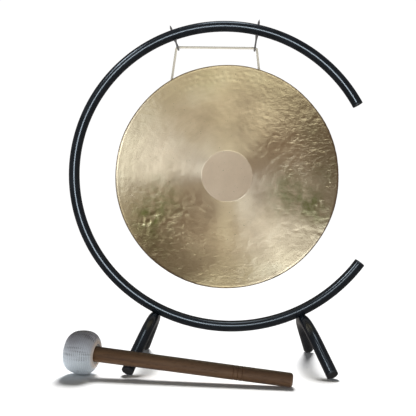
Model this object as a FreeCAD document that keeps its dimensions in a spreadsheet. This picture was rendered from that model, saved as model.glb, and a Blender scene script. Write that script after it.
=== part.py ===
"""Tam-tam gong on a C-shaped tube stand, with its mallet.

Millimetres. Z is up, the front of the gong faces -Y and +X is to the right as seen
from the front. The origin is the point of the floor midway between the four feet,
in the plane of the ring.
"""

import FreeCAD, Part
import math
import os
import Sketcher

Vector = FreeCAD.Vector
Rotation = FreeCAD.Rotation
Placement = FreeCAD.Placement
X_AXIS = Vector(1, 0, 0)
Y_AXIS = Vector(0, 1, 0)
Z_AXIS = Vector(0, 0, 1)

DIMENSIONS = [
    # the ring, a 19 mm steel tube rolled to three tangent arcs
    ("tube_radius", 9.5, "outer radius of the stand's tubes"),
    ("tube_wall", 1.5, "wall of the stand's tubes"),
    ("lower_arc_radius", 286.0, "centreline radius of the ring's lower arc"),
    ("side_arc_radius", 265.0, "centreline radius of the ring's left side"),
    ("upper_arc_radius", 270.0, "centreline radius of the ring's upper arc"),
    ("lower_arc_height", 348.6, "height of the lower arc's centre over the floor"),
    ("lower_arc_right", 52.6, "degrees of lower arc to the right of straight down"),
    ("lower_arc_left", 40.6, "degrees of lower arc to the left of straight down"),
    ("side_arc_sweep", 116.0, "degrees of the side arc"),
    ("upper_arc_sweep", 84.3, "degrees of the upper arc"),
    # end caps of the ring and of the legs
    ("cap_flange", 3.0, "thickness of a cap outside its tube"),
    ("cap_stem_length", 12.0, "length of a cap's stem inside its tube"),
    ("cap_stem_radius", 7.6, "radius of a cap's stem"),
    ("cap_round", 0.8, "rounding of a cap's outer edge"),
    # the two bent legs
    ("leg_bearing", 25.5, "degrees from straight down to each leg's crown"),
    ("leg_sink", 2.0, "depth of the saddle that the ring sits in"),
    ("leg_tilt", 22.0, "degrees that a leg's arch leans outward"),
    ("leg_crown_half", 7.0, "half length of the straight crown"),
    ("leg_bend_radius", 95.0, "centreline radius of a leg's bends"),
    ("leg_bend_angle", 48.0, "degrees of each bend"),
    ("leg_straight", 55.2, "straight length below each bend"),
    # leg fixings
    ("screw_radius", 2.95, "shank radius of the M6 leg screws"),
    ("screw_length", 30.0, "length under the head"),
    ("screw_head_radius", 5.25, "button head radius"),
    ("screw_head_height", 3.3, "button head height"),
    ("screw_socket", 4.0, "hexagon socket across flats"),
    ("screw_socket_depth", 2.0, "depth of the socket"),
    ("washer_radius", 6.5, "radius of the saddle washer"),
    ("washer_height", 2.2, "washer height over the tube's lowest line"),
    ("clearance_radius", 3.3, "radius of the screw holes in the legs and washers"),
    ("insert_radius", 4.5, "body radius of the blind threaded inserts"),
    ("insert_collar_radius", 5.2, "radius of the collar set inside the tube"),
    ("insert_bore", 3.0, "bore radius of the inserts"),
    ("insert_length", 12.0, "length of the inserts"),
    ("insert_sink", 1.3, "depth of the inserts' mouths inside the ring's lowest line"),
    # the two screw hooks
    ("hook_wire", 1.6, "radius of the hook wire"),
    ("hook_thread", 2.0, "radius of the threaded shank"),
    ("hook_point", 5.0, "length of the shank's point"),
    ("hook_collar", 2.7, "radius of the collar under the ring"),
    ("hook_bend", 6.0, "centreline radius of the open bend"),
    ("hook_neck", 3.0, "centreline radius of the neck above the bend"),
    ("hook_turn", 270.0, "degrees of the open bend"),
    ("hook_collar_length", 9.0, "longest cone under the collar"),
    ("hook_left_bearing", 20.6236, "degrees from the ring's top to the left hook"),
    ("hook_left_lean", -20.3, "degrees that the left hook leans"),
    ("hook_left_above", 18.9, "length of the left hook above the ring's centreline"),
    ("hook_left_drop", 28.483, "from the ring's centreline to the left hook's low point"),
    ("hook_right_bearing", -12.1688, "degrees from the ring's top to the right hook"),
    ("hook_right_lean", 8.0, "degrees that the right hook leans"),
    ("hook_right_above", 19.4, "length of the right hook above the ring's centreline"),
    ("hook_right_drop", 38.323, "from the ring's centreline to the right hook's low point"),
    # the gong
    ("gong_radius", 200.0, "outer radius of the gong"),
    ("gong_offset", -6.3, "X of the gong's centre"),
    ("gong_height", 326.0, "height of the gong's centre over the floor"),
    ("gong_wall", 1.8, "thickness of the bronze"),
    ("gong_dome", 8.0, "rise of the face from its edge to its centre"),
    ("gong_corner", 6.0, "outer radius between the face and the turned-back rim"),
    ("gong_depth", 22.0, "depth of the turned-back rim"),
    ("border_radius", 165.0, "inner radius of the flat border"),
    ("border_rise", 1.3, "rise of the border's inner edge over its outer edge"),
    ("border_step", 0.5, "step between the face and the border"),
    ("gong_rim_lean", 3.0, "how far the rim's back edge leans inward"),
    ("centre_radius", 45.0, "radius of the smooth centre disc"),
    ("centre_step", 0.3, "step round the centre disc"),
    ("cord_hole_radius", 3.85, "radius of the two cord holes in the rim"),
    ("cord_hole_setback", 10.0, "distance of the holes behind the face's edge"),
    ("cord_hole_left", 31.0, "degrees from the top to the left hole"),
    ("cord_hole_right", 16.1, "degrees from the top to the right hole"),
    # the hanging cord
    ("cord_radius", 2.25, "radius of the cotton cord"),
    ("cord_wrap_gap", 0.45, "gap between cord and hook wire"),
    ("knot_radius", 5.0, "radius of the knots behind the rim"),
    ("knot_gap", 1.3, "from the middle of the rim's wall to a knot"),
    ("tail_length", 14.0, "length of the loose tails beyond the knots"),
    # the mallet
    ("handle_radius", 11.8, "radius of the wooden handle at the middle of the head"),
    ("handle_taper", 0.0046, "radius that the handle loses per millimetre towards its end"),
    ("handle_length", 324.0, "from the middle of the head to the handle's end"),
    ("handle_round", 4.5, "rounding of the handle's end"),
    ("handle_inside", 14.0, "length of the handle inside the head, past its middle"),
    ("groove_width", 1.2, "width of the three turned grooves"),
    ("groove_depth", 0.8, "depth of the grooves"),
    ("groove_pitch", 6.6, "spacing of the grooves"),
    ("groove_place", 73.0, "from the handle's end to the nearest groove"),
    ("head_radius", 33.5, "largest radius of the mallet's head"),
    ("head_belly", 50.0, "profile radius of the head's round side"),
    ("head_shoulder", 18.0, "profile radius of the head's two shoulders"),
    ("head_half", 27.5, "from the middle of the head to its far end"),
    ("head_near", 24.2, "from the middle of the head to the crest round the recess"),
    ("recess_floor", 18.0, "from the middle of the head to the bottom of the recess"),
    ("recess_radius", 14.6, "radius at the bottom of the recess"),
    ("recess_slope", 20.0, "degrees between the recess's side and the handle"),
    ("cover_thickness", 1.6, "thickness of the knitted cover"),
    ("core_radius", 18.0, "radius of the wooden core"),
    ("core_top", 12.0, "from the middle of the head to the core's handle side"),
    ("core_bottom", 20.0, "from the middle of the head to the core's far side"),
    ("tie_radius", 1.3, "radius of the tie round the gathered cover"),
    ("mallet_x", -227.7, "X of the middle of the mallet's head"),
    ("mallet_y", -113.7, "Y of the middle of the mallet's head"),
    ("mallet_turn", -10.39, "degrees that the mallet is turned about the vertical"),
]

doc = FreeCAD.newDocument("tam_tam_gong")
sheet = doc.addObject("Spreadsheet::Sheet", "dims")
for line, (alias, number, note) in enumerate(DIMENSIONS, start=1):
    sheet.set("A%d" % line, note)
    sheet.set("B%d" % line, str(number))
    sheet.setAlias("B%d" % line, alias)
doc.recompute()


class Size:
    """A number together with the spreadsheet expression that gives it."""

    def __init__(self, value, text):
        self.value = float(value)
        self.text = text

    def combine(self, other, sign, value):
        return Size(value, "(%s %s %s)" % (self.text, sign, as_size(other).text))

    def __add__(self, other):
        return self.combine(other, "+", self.value + as_size(other).value)

    def __sub__(self, other):
        return self.combine(other, "-", self.value - as_size(other).value)

    def __mul__(self, other):
        return self.combine(other, "*", self.value * as_size(other).value)

    def __neg__(self):
        return Size(-self.value, "(0 - %s)" % self.text)

    def __float__(self):
        return self.value


def as_size(thing):
    return thing if isinstance(thing, Size) else Size(thing, "(%.6f)" % thing)


def dim(alias):
    """A driving dimension of the spreadsheet."""
    return Size(sheet.get(alias), "dims." + alias)


def at(x, y, z):
    return Placement(Vector(x, y, z), Rotation())


def bind(obj, **sizes):
    """Binds properties to the spreadsheet."""
    for name, size in sizes.items():
        setattr(obj, name, float(size))
        if isinstance(size, Size):
            obj.setExpression(name, size.text)
    return obj


def primitive(kind, name, placement, **sizes):
    obj = doc.addObject("Part::" + kind, name)
    bind(obj, **sizes)
    obj.Placement = placement
    return obj


def fuse(name, pieces):
    obj = doc.addObject("Part::MultiFuse", name)
    obj.Shapes = pieces
    return obj


def cut(name, base, tool):
    obj = doc.addObject("Part::Cut", name)
    obj.Base = base
    obj.Tool = tool
    return obj


def new_body(name):
    return doc.addObject("PartDesign::Body", name)


def origin_plane(body, role):
    return next(f for f in body.Origin.OriginFeatures if f.Role == role)


def new_sketch(body, name, role):
    sketch = body.newObject("Sketcher::SketchObject", name)
    sketch.AttachmentSupport = (origin_plane(body, role), [""])
    sketch.MapMode = "FlatFace"
    return sketch


def pin_point(sketch, geometry, end, x, y):
    """Fixes one end of a line or an arc at x, y, each a Size or 0."""
    for axis, kind, size in ((-2, "DistanceX", x), (-1, "DistanceY", y)):
        if not isinstance(size, Size) and size == 0:
            sketch.addConstraint(Sketcher.Constraint("PointOnObject", geometry, end, axis))
            continue
        row = sketch.addConstraint(Sketcher.Constraint(kind, geometry, end, float(size)))
        if isinstance(size, Size):
            sketch.setExpression("Constraints[%d]" % row, size.text)


def arc_through(start, end, radius, turn):
    """The arc from start to end: turn is 1 anticlockwise and -1 clockwise."""
    chord = end - start
    half = chord.Length / 2
    side = Vector(-chord.y, chord.x, 0).normalize() * turn
    centre = (start + end) / 2 + side * math.sqrt(max(radius**2 - half**2, 0))
    first = math.atan2(start.y - centre.y, start.x - centre.x)
    last = math.atan2(end.y - centre.y, end.x - centre.x)
    if turn < 0:
        first, last = last, first
    return Part.ArcOfCircle(Part.Circle(centre, Z_AXIS, radius), first, last)


def outline(body, name, role, corners):
    """A closed sketch. A corner is (x, y) or (x, y, radius, turn): the edge that
    leaves a corner with a radius is an arc of that radius."""
    sketch = new_sketch(body, name, role)
    places = [Vector(float(c[0]), float(c[1]), 0) for c in corners]
    ends = []
    for i, corner in enumerate(corners):
        start, end = places[i], places[(i + 1) % len(corners)]
        if len(corner) == 4:
            arc = arc_through(start, end, float(corner[2]), corner[3])
            sketch.addGeometry(arc, False)
            ends.append((1, 2) if corner[3] > 0 else (2, 1))
            row = sketch.addConstraint(Sketcher.Constraint("Radius", i, float(corner[2])))
            if isinstance(corner[2], Size):
                sketch.setExpression("Constraints[%d]" % row, corner[2].text)
        else:
            sketch.addGeometry(Part.LineSegment(start, end), False)
            ends.append((1, 2))
    for i, corner in enumerate(corners):
        after = (i + 1) % len(corners)
        sketch.addConstraint(Sketcher.Constraint("Coincident", i, ends[i][1], after, ends[after][0]))
        pin_point(sketch, i, ends[i][0], corner[0], corner[1])
    return sketch


def revolve(body, sketch):
    """Turns a sketch in the body's XZ plane about the body's Z axis."""
    turned = body.newObject("PartDesign::Revolution", sketch.Name + "_turned")
    turned.Profile = sketch
    turned.ReferenceAxis = (sketch, ["V_Axis"])
    turned.Angle = 360
    body.Tip = turned
    return turned


def turned_body(name, corners):
    body = new_body(name)
    revolve(body, outline(body, name + "_profile", "XZ_Plane", corners))
    return body


def direction(bearing):
    """Unit vector in the ring's plane, bearing degrees from straight down to +X."""
    angle = math.radians(bearing)
    return Vector(math.sin(angle), 0, -math.cos(angle))


def along(axis_direction):
    """The rotation that turns local +Z to a direction."""
    return Rotation(Z_AXIS, axis_direction)


tube_radius = dim("tube_radius")
bore_radius = tube_radius - dim("tube_wall")

# ---------------------------------------------------------------- the ring's arcs
lower_centre = Vector(0, 0, float(dim("lower_arc_height")))
side_start = -float(dim("lower_arc_left"))
side_step = float(dim("lower_arc_radius")) - float(dim("side_arc_radius"))
side_centre = lower_centre + direction(side_start) * side_step
upper_start = side_start - float(dim("side_arc_sweep"))
upper_step = float(dim("side_arc_radius")) - float(dim("upper_arc_radius"))
upper_centre = side_centre + direction(upper_start) * upper_step
upper_end = upper_start - float(dim("upper_arc_sweep"))
lower_end = float(dim("lower_arc_right"))

lower_sweep = dim("lower_arc_left") + dim("lower_arc_right")
ARCS = [
    # name, centre, centreline radius, sweep, bearing of its clockwise end
    ("lower", lower_centre, dim("lower_arc_radius"), lower_sweep, side_start),
    ("side", side_centre, dim("side_arc_radius"), dim("side_arc_sweep"), upper_start),
    ("upper", upper_centre, dim("upper_arc_radius"), dim("upper_arc_sweep"), upper_end),
]


def ring_solid(name, radius):
    """The three arcs of the ring as one solid rod of a given radius."""
    pieces = []
    for arc, centre, bend, sweep, bearing in ARCS:
        turn = Rotation(X_AXIS, 90) * Rotation(Z_AXIS, bearing - 90)
        torus = primitive(
            "Torus",
            "%s_%s" % (name, arc),
            Placement(centre, turn),
            Radius1=bend,
            Radius2=radius,
            Angle3=sweep,
        )
        pieces.append(torus)
    return fuse(name, pieces)


def on_ring(centre, radius, bearing):
    return centre + direction(bearing) * float(radius)


def make_frame_tube():
    """The C-shaped ring: a hollow tube with holes for the hooks and the inserts."""
    rod = ring_solid("ring_rod", tube_radius)
    hollow = ring_solid("ring_hollow", bore_radius)
    tube = cut("ring_tube", rod, hollow)
    drills = []
    for side in ("left", "right"):
        axis = hook_axis(side)
        base = hook_crossing(side) - axis * 16
        drill = primitive(
            "Cylinder",
            "hook_drill_" + side,
            Placement(base, along(axis)),
            Radius=dim("hook_thread") + 0.05,
            Height=32,
        )
        drills.append(drill)
        axis = leg_axis(side)
        base = on_ring(lower_centre, dim("lower_arc_radius"), leg_bearing(side))
        drill = primitive(
            "Cylinder",
            "insert_drill_" + side,
            Placement(base + axis * 4, along(axis)),
            Radius=dim("insert_radius") + 0.05,
            Height=8,
        )
        drills.append(drill)
    frame = cut("frame_tube", tube, fuse("ring_drills", drills))
    frame.Label = "frame_tube"
    return frame


# ------------------------------------------------------------------------ the caps
def make_cap(name, seat, outward):
    """A plastic cap: a flange flush with the tube and a stem inside it."""
    flange, stem = dim("cap_flange"), dim("cap_stem_length")
    edge = dim("cap_round")
    corners = [
        (0, -stem),
        (dim("cap_stem_radius") - 0.6, -stem),
        (dim("cap_stem_radius"), -stem + 2.0),
        (dim("cap_stem_radius"), 0),
        (tube_radius, 0),
        (tube_radius, flange - edge, edge, 1),
        (tube_radius - edge, flange),
        (0, flange),
    ]
    body = turned_body(name, corners)
    body.Placement = Placement(seat, along(outward))
    return body


def make_ring_caps():
    """The caps at the ring's two open ends."""
    lower_seat = on_ring(lower_centre, dim("lower_arc_radius"), lower_end)
    upper_seat = on_ring(upper_centre, dim("upper_arc_radius"), upper_end)
    lower_cap = make_cap("frame_cap_lower", lower_seat, direction(lower_end + 90))
    upper_cap = make_cap("frame_cap_upper", upper_seat, direction(upper_end - 90))
    return [lower_cap, upper_cap]


# ------------------------------------------------------------------------ the legs
def side_sign(side):
    return -1 if side == "left" else 1


def leg_bearing(side):
    return side_sign(side) * float(dim("leg_bearing"))


def leg_axis(side):
    """The direction of the leg screw, outward from the lower arc's centre."""
    return direction(leg_bearing(side))


def crown_reach():
    """From the ring's centreline to the crown's centreline."""
    return float(tube_radius) * 2 - float(dim("leg_sink"))


def leg_placement(side):
    crown = on_ring(lower_centre, dim("lower_arc_radius"), leg_bearing(side))
    crown += leg_axis(side) * crown_reach()
    lean = Rotation(Y_AXIS, -side_sign(side) * float(dim("leg_tilt")))
    return Placement(crown, lean * Rotation(Z_AXIS, 90))


def leg_end():
    """The end of the half arch in its own plane, and its direction there."""
    angle = math.radians(float(dim("leg_bend_angle")))
    bend, straight = float(dim("leg_bend_radius")), float(dim("leg_straight"))
    out = float(dim("leg_crown_half")) + bend * math.sin(angle) + straight * math.cos(angle)
    down = bend * (1 - math.cos(angle)) + straight * math.sin(angle)
    return Vector(out, 0, -down), Vector(math.cos(angle), 0, -math.sin(angle))


def leg_spine(body, name):
    """Half of the arch's centreline: crown, bend and straight leg."""
    sketch = new_sketch(body, name, "XZ_Plane")
    crown, bend = dim("leg_crown_half"), dim("leg_bend_radius")
    angle = math.radians(float(dim("leg_bend_angle")))
    top = Vector(float(crown), 0, 0)
    centre = top - Vector(0, float(bend), 0)
    low = centre + Vector(math.sin(angle), math.cos(angle), 0) * float(bend)
    foot, _ = leg_end()
    quarter = math.pi / 2
    sketch.addGeometry(Part.LineSegment(Vector(0, 0, 0), top), False)
    circle = Part.Circle(centre, Z_AXIS, float(bend))
    sketch.addGeometry(Part.ArcOfCircle(circle, quarter - angle, quarter), False)
    sketch.addGeometry(Part.LineSegment(low, Vector(foot.x, foot.z, 0)), False)
    sketch.addConstraint(Sketcher.Constraint("Coincident", 0, 1, -1, 1))
    sketch.addConstraint(Sketcher.Constraint("Horizontal", 0))
    sketch.addConstraint(Sketcher.Constraint("Tangent", 0, 2, 1, 2))
    sketch.addConstraint(Sketcher.Constraint("Tangent", 1, 1, 2, 1))
    named = [
        ("Distance", 0, crown),
        ("Radius", 1, bend),
        ("Distance", 2, dim("leg_straight")),
    ]
    for kind, geometry, size in named:
        row = sketch.addConstraint(Sketcher.Constraint(kind, geometry, size.value))
        sketch.setExpression("Constraints[%d]" % row, size.text)
    row = sketch.addConstraint(Sketcher.Constraint("Angle", 1, angle))
    sketch.setExpression("Constraints[%d]" % row, "dims.leg_bend_angle * 1 deg")
    return sketch


def circle_sketch(body, name, role, radii):
    """Circles about the origin of one of the body's planes."""
    sketch = new_sketch(body, name, role)
    for i, radius in enumerate(radii):
        sketch.addGeometry(Part.Circle(Vector(0, 0, 0), Z_AXIS, radius.value), False)
        sketch.addConstraint(Sketcher.Constraint("Coincident", i, 3, -1, 1))
        row = sketch.addConstraint(Sketcher.Constraint("Radius", i, radius.value))
        sketch.setExpression("Constraints[%d]" % row, radius.text)
    return sketch


def pipe(body, name, profile, spine, edges):
    swept = body.newObject("PartDesign::AdditivePipe", name)
    swept.Profile = profile
    swept.Spine = (spine, ["Edge%d" % (i + 1) for i in range(edges)])
    body.Tip = swept
    return swept


def make_leg(side):
    """One bent tube: an arch that runs from front to back under the ring."""
    name = "leg_" + side
    body = new_body(name + "_tube")
    spine = leg_spine(body, name + "_spine")
    profile = circle_sketch(body, name + "_section", "YZ_Plane", [tube_radius, bore_radius])
    half = pipe(body, name + "_half", profile, spine, 3)
    mirrored = body.newObject("PartDesign::Mirrored", name + "_mirrored")
    mirrored.Originals = [half]
    mirrored.MirrorPlane = (origin_plane(body, "YZ_Plane"), [""])
    body.Tip = mirrored
    body.Placement = leg_placement(side)
    turn = Rotation(X_AXIS, 90) * Rotation(Z_AXIS, side_start - 90)
    saddle = primitive(
        "Torus",
        name + "_saddle",
        Placement(lower_centre, turn),
        Radius1=dim("lower_arc_radius"),
        Radius2=tube_radius + 0.02,
        Angle3=lower_sweep,
    )
    axis = leg_axis(side)
    base = leg_placement(side).Base - axis * 14
    drill = primitive(
        "Cylinder",
        name + "_drill",
        Placement(base, along(axis)),
        Radius=dim("clearance_radius"),
        Height=28,
    )
    leg = cut(name, body, fuse(name + "_cutters", [saddle, drill]))
    leg.Label = name
    return leg


def foot_seat(side, end):
    """Where a leg's tube ends, and the direction that it points in."""
    seat, outward = leg_end()
    if end == "front":
        seat, outward = Vector(-seat.x, 0, seat.z), Vector(-outward.x, 0, outward.z)
    placement = leg_placement(side)
    return placement.multVec(seat), placement.Rotation.multVec(outward)


def make_foot_cap(side, end):
    """A leg cap with the small flat that it stands on."""
    name = "foot_cap_%s_%s" % (side, end)
    seat, outward = foot_seat(side, end)
    body = make_cap(name + "_blank", seat, outward)
    corner = at(seat.x - 20, seat.y - 20, -20)
    floor = primitive("Box", name + "_floor", corner, Length=40, Width=40, Height=20)
    cap = cut(name, body, floor)
    cap.Label = name
    return cap


# --------------------------------------------------------------- the leg fixings
def fixing_placement(side, reach):
    """On the screw's axis, reach millimetres out from the ring's centreline."""
    base = on_ring(lower_centre, dim("lower_arc_radius"), leg_bearing(side))
    return Placement(base + leg_axis(side) * reach, along(leg_axis(side)))


def head_reach():
    return crown_reach() + float(tube_radius) + float(dim("washer_height"))


def make_screw(side):
    """An M6 button-head screw that comes up through the crown into the ring."""
    shank, head = dim("screw_radius"), dim("screw_head_radius")
    height, length = dim("screw_head_height"), dim("screw_length")
    corners = [
        (0, -length),
        (shank - 0.6, -length),
        (shank, -length + 0.6),
        (shank, 0),
        (head, 0),
        (head, 0.6, 4.0, 1),
        (head - 2.4, height),
        (0, height),
    ]
    name = "leg_screw_" + side
    body = turned_body(name, corners)
    socket = new_sketch(body, name + "_socket", "XY_Plane")
    across = dim("screw_socket")
    reach = float(across) / math.sqrt(3)
    points = [
        Vector(reach * math.cos(math.radians(60 * i)), reach * math.sin(math.radians(60 * i)), 0)
        for i in range(6)
    ]
    for i in range(6):
        socket.addGeometry(Part.LineSegment(points[i], points[(i + 1) % 6]), False)
    socket.addGeometry(Part.Circle(Vector(0, 0, 0), Z_AXIS, reach), True)
    socket.addConstraint(Sketcher.Constraint("Coincident", 6, 3, -1, 1))
    for i in range(6):
        socket.addConstraint(Sketcher.Constraint("Coincident", i, 2, (i + 1) % 6, 1))
        socket.addConstraint(Sketcher.Constraint("PointOnObject", i, 1, 6))
    for i in range(1, 6):
        socket.addConstraint(Sketcher.Constraint("Equal", 0, i))
    socket.addConstraint(Sketcher.Constraint("PointOnObject", 0, 1, -1))
    row = socket.addConstraint(Sketcher.Constraint("Distance", 0, reach))
    socket.setExpression("Constraints[%d]" % row, "dims.screw_socket / sqrt(3)")
    socket.AttachmentOffset = at(0, 0, float(height))
    socket.setExpression("AttachmentOffset.Base.z", height.text)
    doc.recompute()
    before = body.Shape.Volume
    pocket = body.newObject("PartDesign::Pocket", name + "_pocket")
    pocket.Profile = socket
    bind(pocket, Length=dim("screw_socket_depth"))
    body.Tip = pocket
    doc.recompute()
    if not body.Shape.Volume < before - 10:
        raise ValueError(name + ": the socket cuts nothing")
    body.Placement = fixing_placement(side, head_reach())
    return body


def make_washer(side):
    """A washer hollowed to sit on the round of the crown."""
    name = "saddle_washer_" + side
    inner, outer = dim("clearance_radius"), dim("washer_radius")
    height = dim("washer_height")
    blank = turned_body(
        name + "_blank", [(inner, -6.0), (outer, -6.0), (outer, height), (inner, height)]
    )
    blank.Placement = fixing_placement(side, crown_reach() + float(tube_radius))
    crown = leg_placement(side).Base
    tube = primitive(
        "Cylinder",
        name + "_tube",
        Placement(crown - Y_AXIS * 12, Rotation(X_AXIS, -90)),
        Radius=tube_radius + 0.02,
        Height=24,
    )
    washer = cut(name, blank, tube)
    washer.Label = name
    return washer


def make_insert(side):
    """A blind threaded insert, set in the ring's lower wall."""
    body_radius, bore = dim("insert_radius"), dim("insert_bore")
    length, collar = dim("insert_length"), dim("insert_collar_radius")
    corners = [
        (bore, 0),
        (body_radius, 0),
        (body_radius, as_size(-4.3)),
        (collar, as_size(-5.2)),
        (body_radius, as_size(-7.4)),
        (body_radius, -length),
        (bore, -length),
    ]
    body = turned_body("thread_insert_" + side, corners)
    body.Placement = fixing_placement(side, float(tube_radius - dim("insert_sink")))
    return body


# ----------------------------------------------------------------------- the hooks
def hook_dim(side, word):
    return float(dim("hook_%s_%s" % (side, word)))


def hook_crossing(side):
    """Where the hook's axis crosses the ring's centreline."""
    return on_ring(upper_centre, dim("upper_arc_radius"), 180 + hook_dim(side, "bearing"))


def hook_axis(side):
    """Downward along the hook."""
    return -direction(180 - hook_dim(side, "lean"))


def hook_wire_place(side):
    """The middle of the wire at the bottom of the bend."""
    return hook_crossing(side) + hook_axis(side) * hook_dim(side, "drop")


def hook_spine(body, name, straight):
    """Straight shank, neck and open bend, downward from the origin in the YZ plane."""
    sketch = new_sketch(body, name, "YZ_Plane")
    bend, neck = float(dim("hook_bend")), float(dim("hook_neck"))
    leave = math.acos(neck / (bend + neck))
    neck_centre = Vector(neck, -straight, 0)
    centre = Vector(0, -straight - (bend + neck) * math.sin(leave), 0)
    sketch.addGeometry(Part.LineSegment(Vector(0, 0, 0), Vector(0, -straight, 0)), False)
    circle = Part.Circle(neck_centre, Z_AXIS, neck)
    sketch.addGeometry(Part.ArcOfCircle(circle, math.pi, math.pi + leave), False)
    circle = Part.Circle(centre, Z_AXIS, bend)
    turn = math.radians(float(dim("hook_turn")))
    sketch.addGeometry(Part.ArcOfCircle(circle, leave - turn, leave), False)
    sketch.addConstraint(Sketcher.Constraint("Coincident", 0, 1, -1, 1))
    sketch.addConstraint(Sketcher.Constraint("Vertical", 0))
    sketch.addConstraint(Sketcher.Constraint("Distance", 0, straight))
    sketch.addConstraint(Sketcher.Constraint("Tangent", 0, 2, 1, 1))
    sketch.addConstraint(Sketcher.Constraint("Tangent", 1, 2, 2, 2))
    for geometry, alias in ((1, "hook_neck"), (2, "hook_bend")):
        size = dim(alias)
        row = sketch.addConstraint(Sketcher.Constraint("Radius", geometry, size.value))
        sketch.setExpression("Constraints[%d]" % row, size.text)
    sketch.addConstraint(Sketcher.Constraint("PointOnObject", 2, 3, -2))
    row = sketch.addConstraint(Sketcher.Constraint("Angle", 2, turn))
    sketch.setExpression("Constraints[%d]" % row, "dims.hook_turn * 1 deg")
    return sketch


def make_hook(side):
    """A screw hook: its shank passes through the ring and its point stands above."""
    name = "screw_hook_" + side
    bend, neck = float(dim("hook_bend")), float(dim("hook_neck"))
    neck_drop = math.sqrt((bend + neck) ** 2 - neck**2)
    straight = hook_dim(side, "drop") - bend - neck_drop
    body = new_body(name)
    wire, thread, collar = dim("hook_wire"), dim("hook_thread"), dim("hook_collar")
    under = tube_radius + 0.4
    above = dim("hook_%s_above" % side)
    collar_end = as_size(min(straight - 0.2, float(under + dim("hook_collar_length"))))
    corners = [
        (0, -collar_end),
        (wire, -collar_end),
        (collar, -under - 0.8),
        (collar, -under),
        (thread, -under),
        (thread, above - dim("hook_point")),
        (as_size(0.4), above),
        (0, above),
    ]
    revolve(body, outline(body, name + "_profile", "XZ_Plane", corners))
    spine = hook_spine(body, name + "_spine", straight)
    section = circle_sketch(body, name + "_section", "XY_Plane", [wire])
    pipe(body, name + "_wire", section, spine, 3)
    body.Placement = Placement(hook_crossing(side), along(-hook_axis(side)))
    return body


# ------------------------------------------------------------------------ the gong
def hole_point(side, radius):
    """A point on a cord hole's axis, in the upright gong's own frame."""
    sign = side_sign(side)
    angle = math.radians(float(dim("cord_hole_" + side)))
    setback = float(dim("cord_hole_setback"))
    return Vector(sign * radius * math.sin(angle), radius * math.cos(angle), -setback)


def rim_middle():
    """Radius of the middle of the rim's wall at the cord holes."""
    back = float(dim("cord_hole_setback")) - float(dim("gong_corner"))
    run = float(dim("gong_depth")) - float(dim("gong_corner"))
    lean = float(dim("gong_rim_lean")) * back / run
    return float(dim("gong_radius")) - lean - float(dim("gong_wall")) / 2


def upright_gong():
    """Gong frame: X right, Y up, Z towards the front, the cord holes at world Y = 0."""
    base = Vector(
        float(dim("gong_offset")),
        -float(dim("cord_hole_setback")),
        float(dim("gong_height")),
    )
    return Placement(base, Rotation(X_AXIS, 90))


def hanging_gong(mass_centre):
    """The gong turned about the line through its holes until it hangs at rest."""
    upright = upright_gong()
    left = upright.multVec(hole_point("left", rim_middle()))
    right = upright.multVec(hole_point("right", rim_middle()))
    line_direction = (right - left).normalize()
    centre = upright.multVec(mass_centre) - left
    drop = (centre - line_direction * centre.dot(line_direction) - Y_AXIS * centre.y).Length
    lean = math.degrees(math.atan2(-centre.y, drop))
    turn = Rotation(line_direction, lean)
    swing = Placement(left, Rotation()) * Placement(Vector(), turn) * Placement(-left, Rotation())
    return swing * upright, lean


def gong_outline():
    """Half section of the bronze, face up and rim down."""
    wall, corner = dim("gong_wall"), dim("gong_corner")
    outer, depth, lean = dim("gong_radius"), dim("gong_depth"), dim("gong_rim_lean")
    centre, dome = dim("centre_radius"), dim("gong_dome")
    border, rise, step = dim("border_radius"), dim("border_rise"), dim("border_step")
    run = float(border - centre)
    fall = float(dome - rise - step)
    face = run**2 / (2 * fall)
    return [
        (0, dome + dim("centre_step")),
        (centre, dome + dim("centre_step")),
        (centre, dome, as_size(face), -1),
        (border, rise + step),
        (border + 1.0, rise),
        (outer - corner, 0, corner, -1),
        (outer, -corner),
        (outer - lean, -depth),
        (outer - lean - wall, -depth),
        (outer - wall, -corner, corner - wall, 1),
        (outer - corner, -wall),
        (border + 1.0, rise - wall, as_size(face), 1),
        (centre, dome - wall),
        (0, dome - wall),
    ]


def make_gong():
    """The bronze disc with its turned-back rim and two cord holes."""
    blank = turned_body("gong_blank", gong_outline())
    doc.recompute()
    mass_centre = blank.Shape.Solids[0].CenterOfMass
    placement, lean = hanging_gong(mass_centre)
    blank.Placement = placement
    drills = []
    for side in ("left", "right"):
        inner = placement.multVec(hole_point(side, rim_middle() - 8))
        outer = placement.multVec(hole_point(side, rim_middle() + 8))
        drill = primitive(
            "Cylinder",
            "cord_drill_" + side,
            Placement(inner, along(outer - inner)),
            Radius=dim("cord_hole_radius"),
            Height=16,
        )
        drills.append(drill)
    gong = cut("gong_disc", blank, fuse("cord_drills", drills))
    gong.Label = "gong_disc"
    return gong, placement, lean


def make_knot(side, placement):
    """The knot behind the rim and its loose tail."""
    reach = rim_middle() - float(dim("knot_gap")) - float(dim("knot_radius"))
    middle = placement.multVec(hole_point(side, reach))
    inward = (placement.multVec(hole_point(side, 0)) - middle).normalize()
    ball = primitive(
        "Sphere", "knot_ball_" + side, Placement(middle, along(inward)), Radius=dim("knot_radius")
    )
    tail = primitive(
        "Cylinder",
        "knot_tail_" + side,
        Placement(middle, along(inward + Vector(0, 0.35, -0.5))),
        Radius=dim("cord_radius"),
        Height=dim("tail_length"),
    )
    knot = fuse("cord_knot_" + side, [ball, tail])
    knot.Label = "cord_knot_" + side
    return knot


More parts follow.
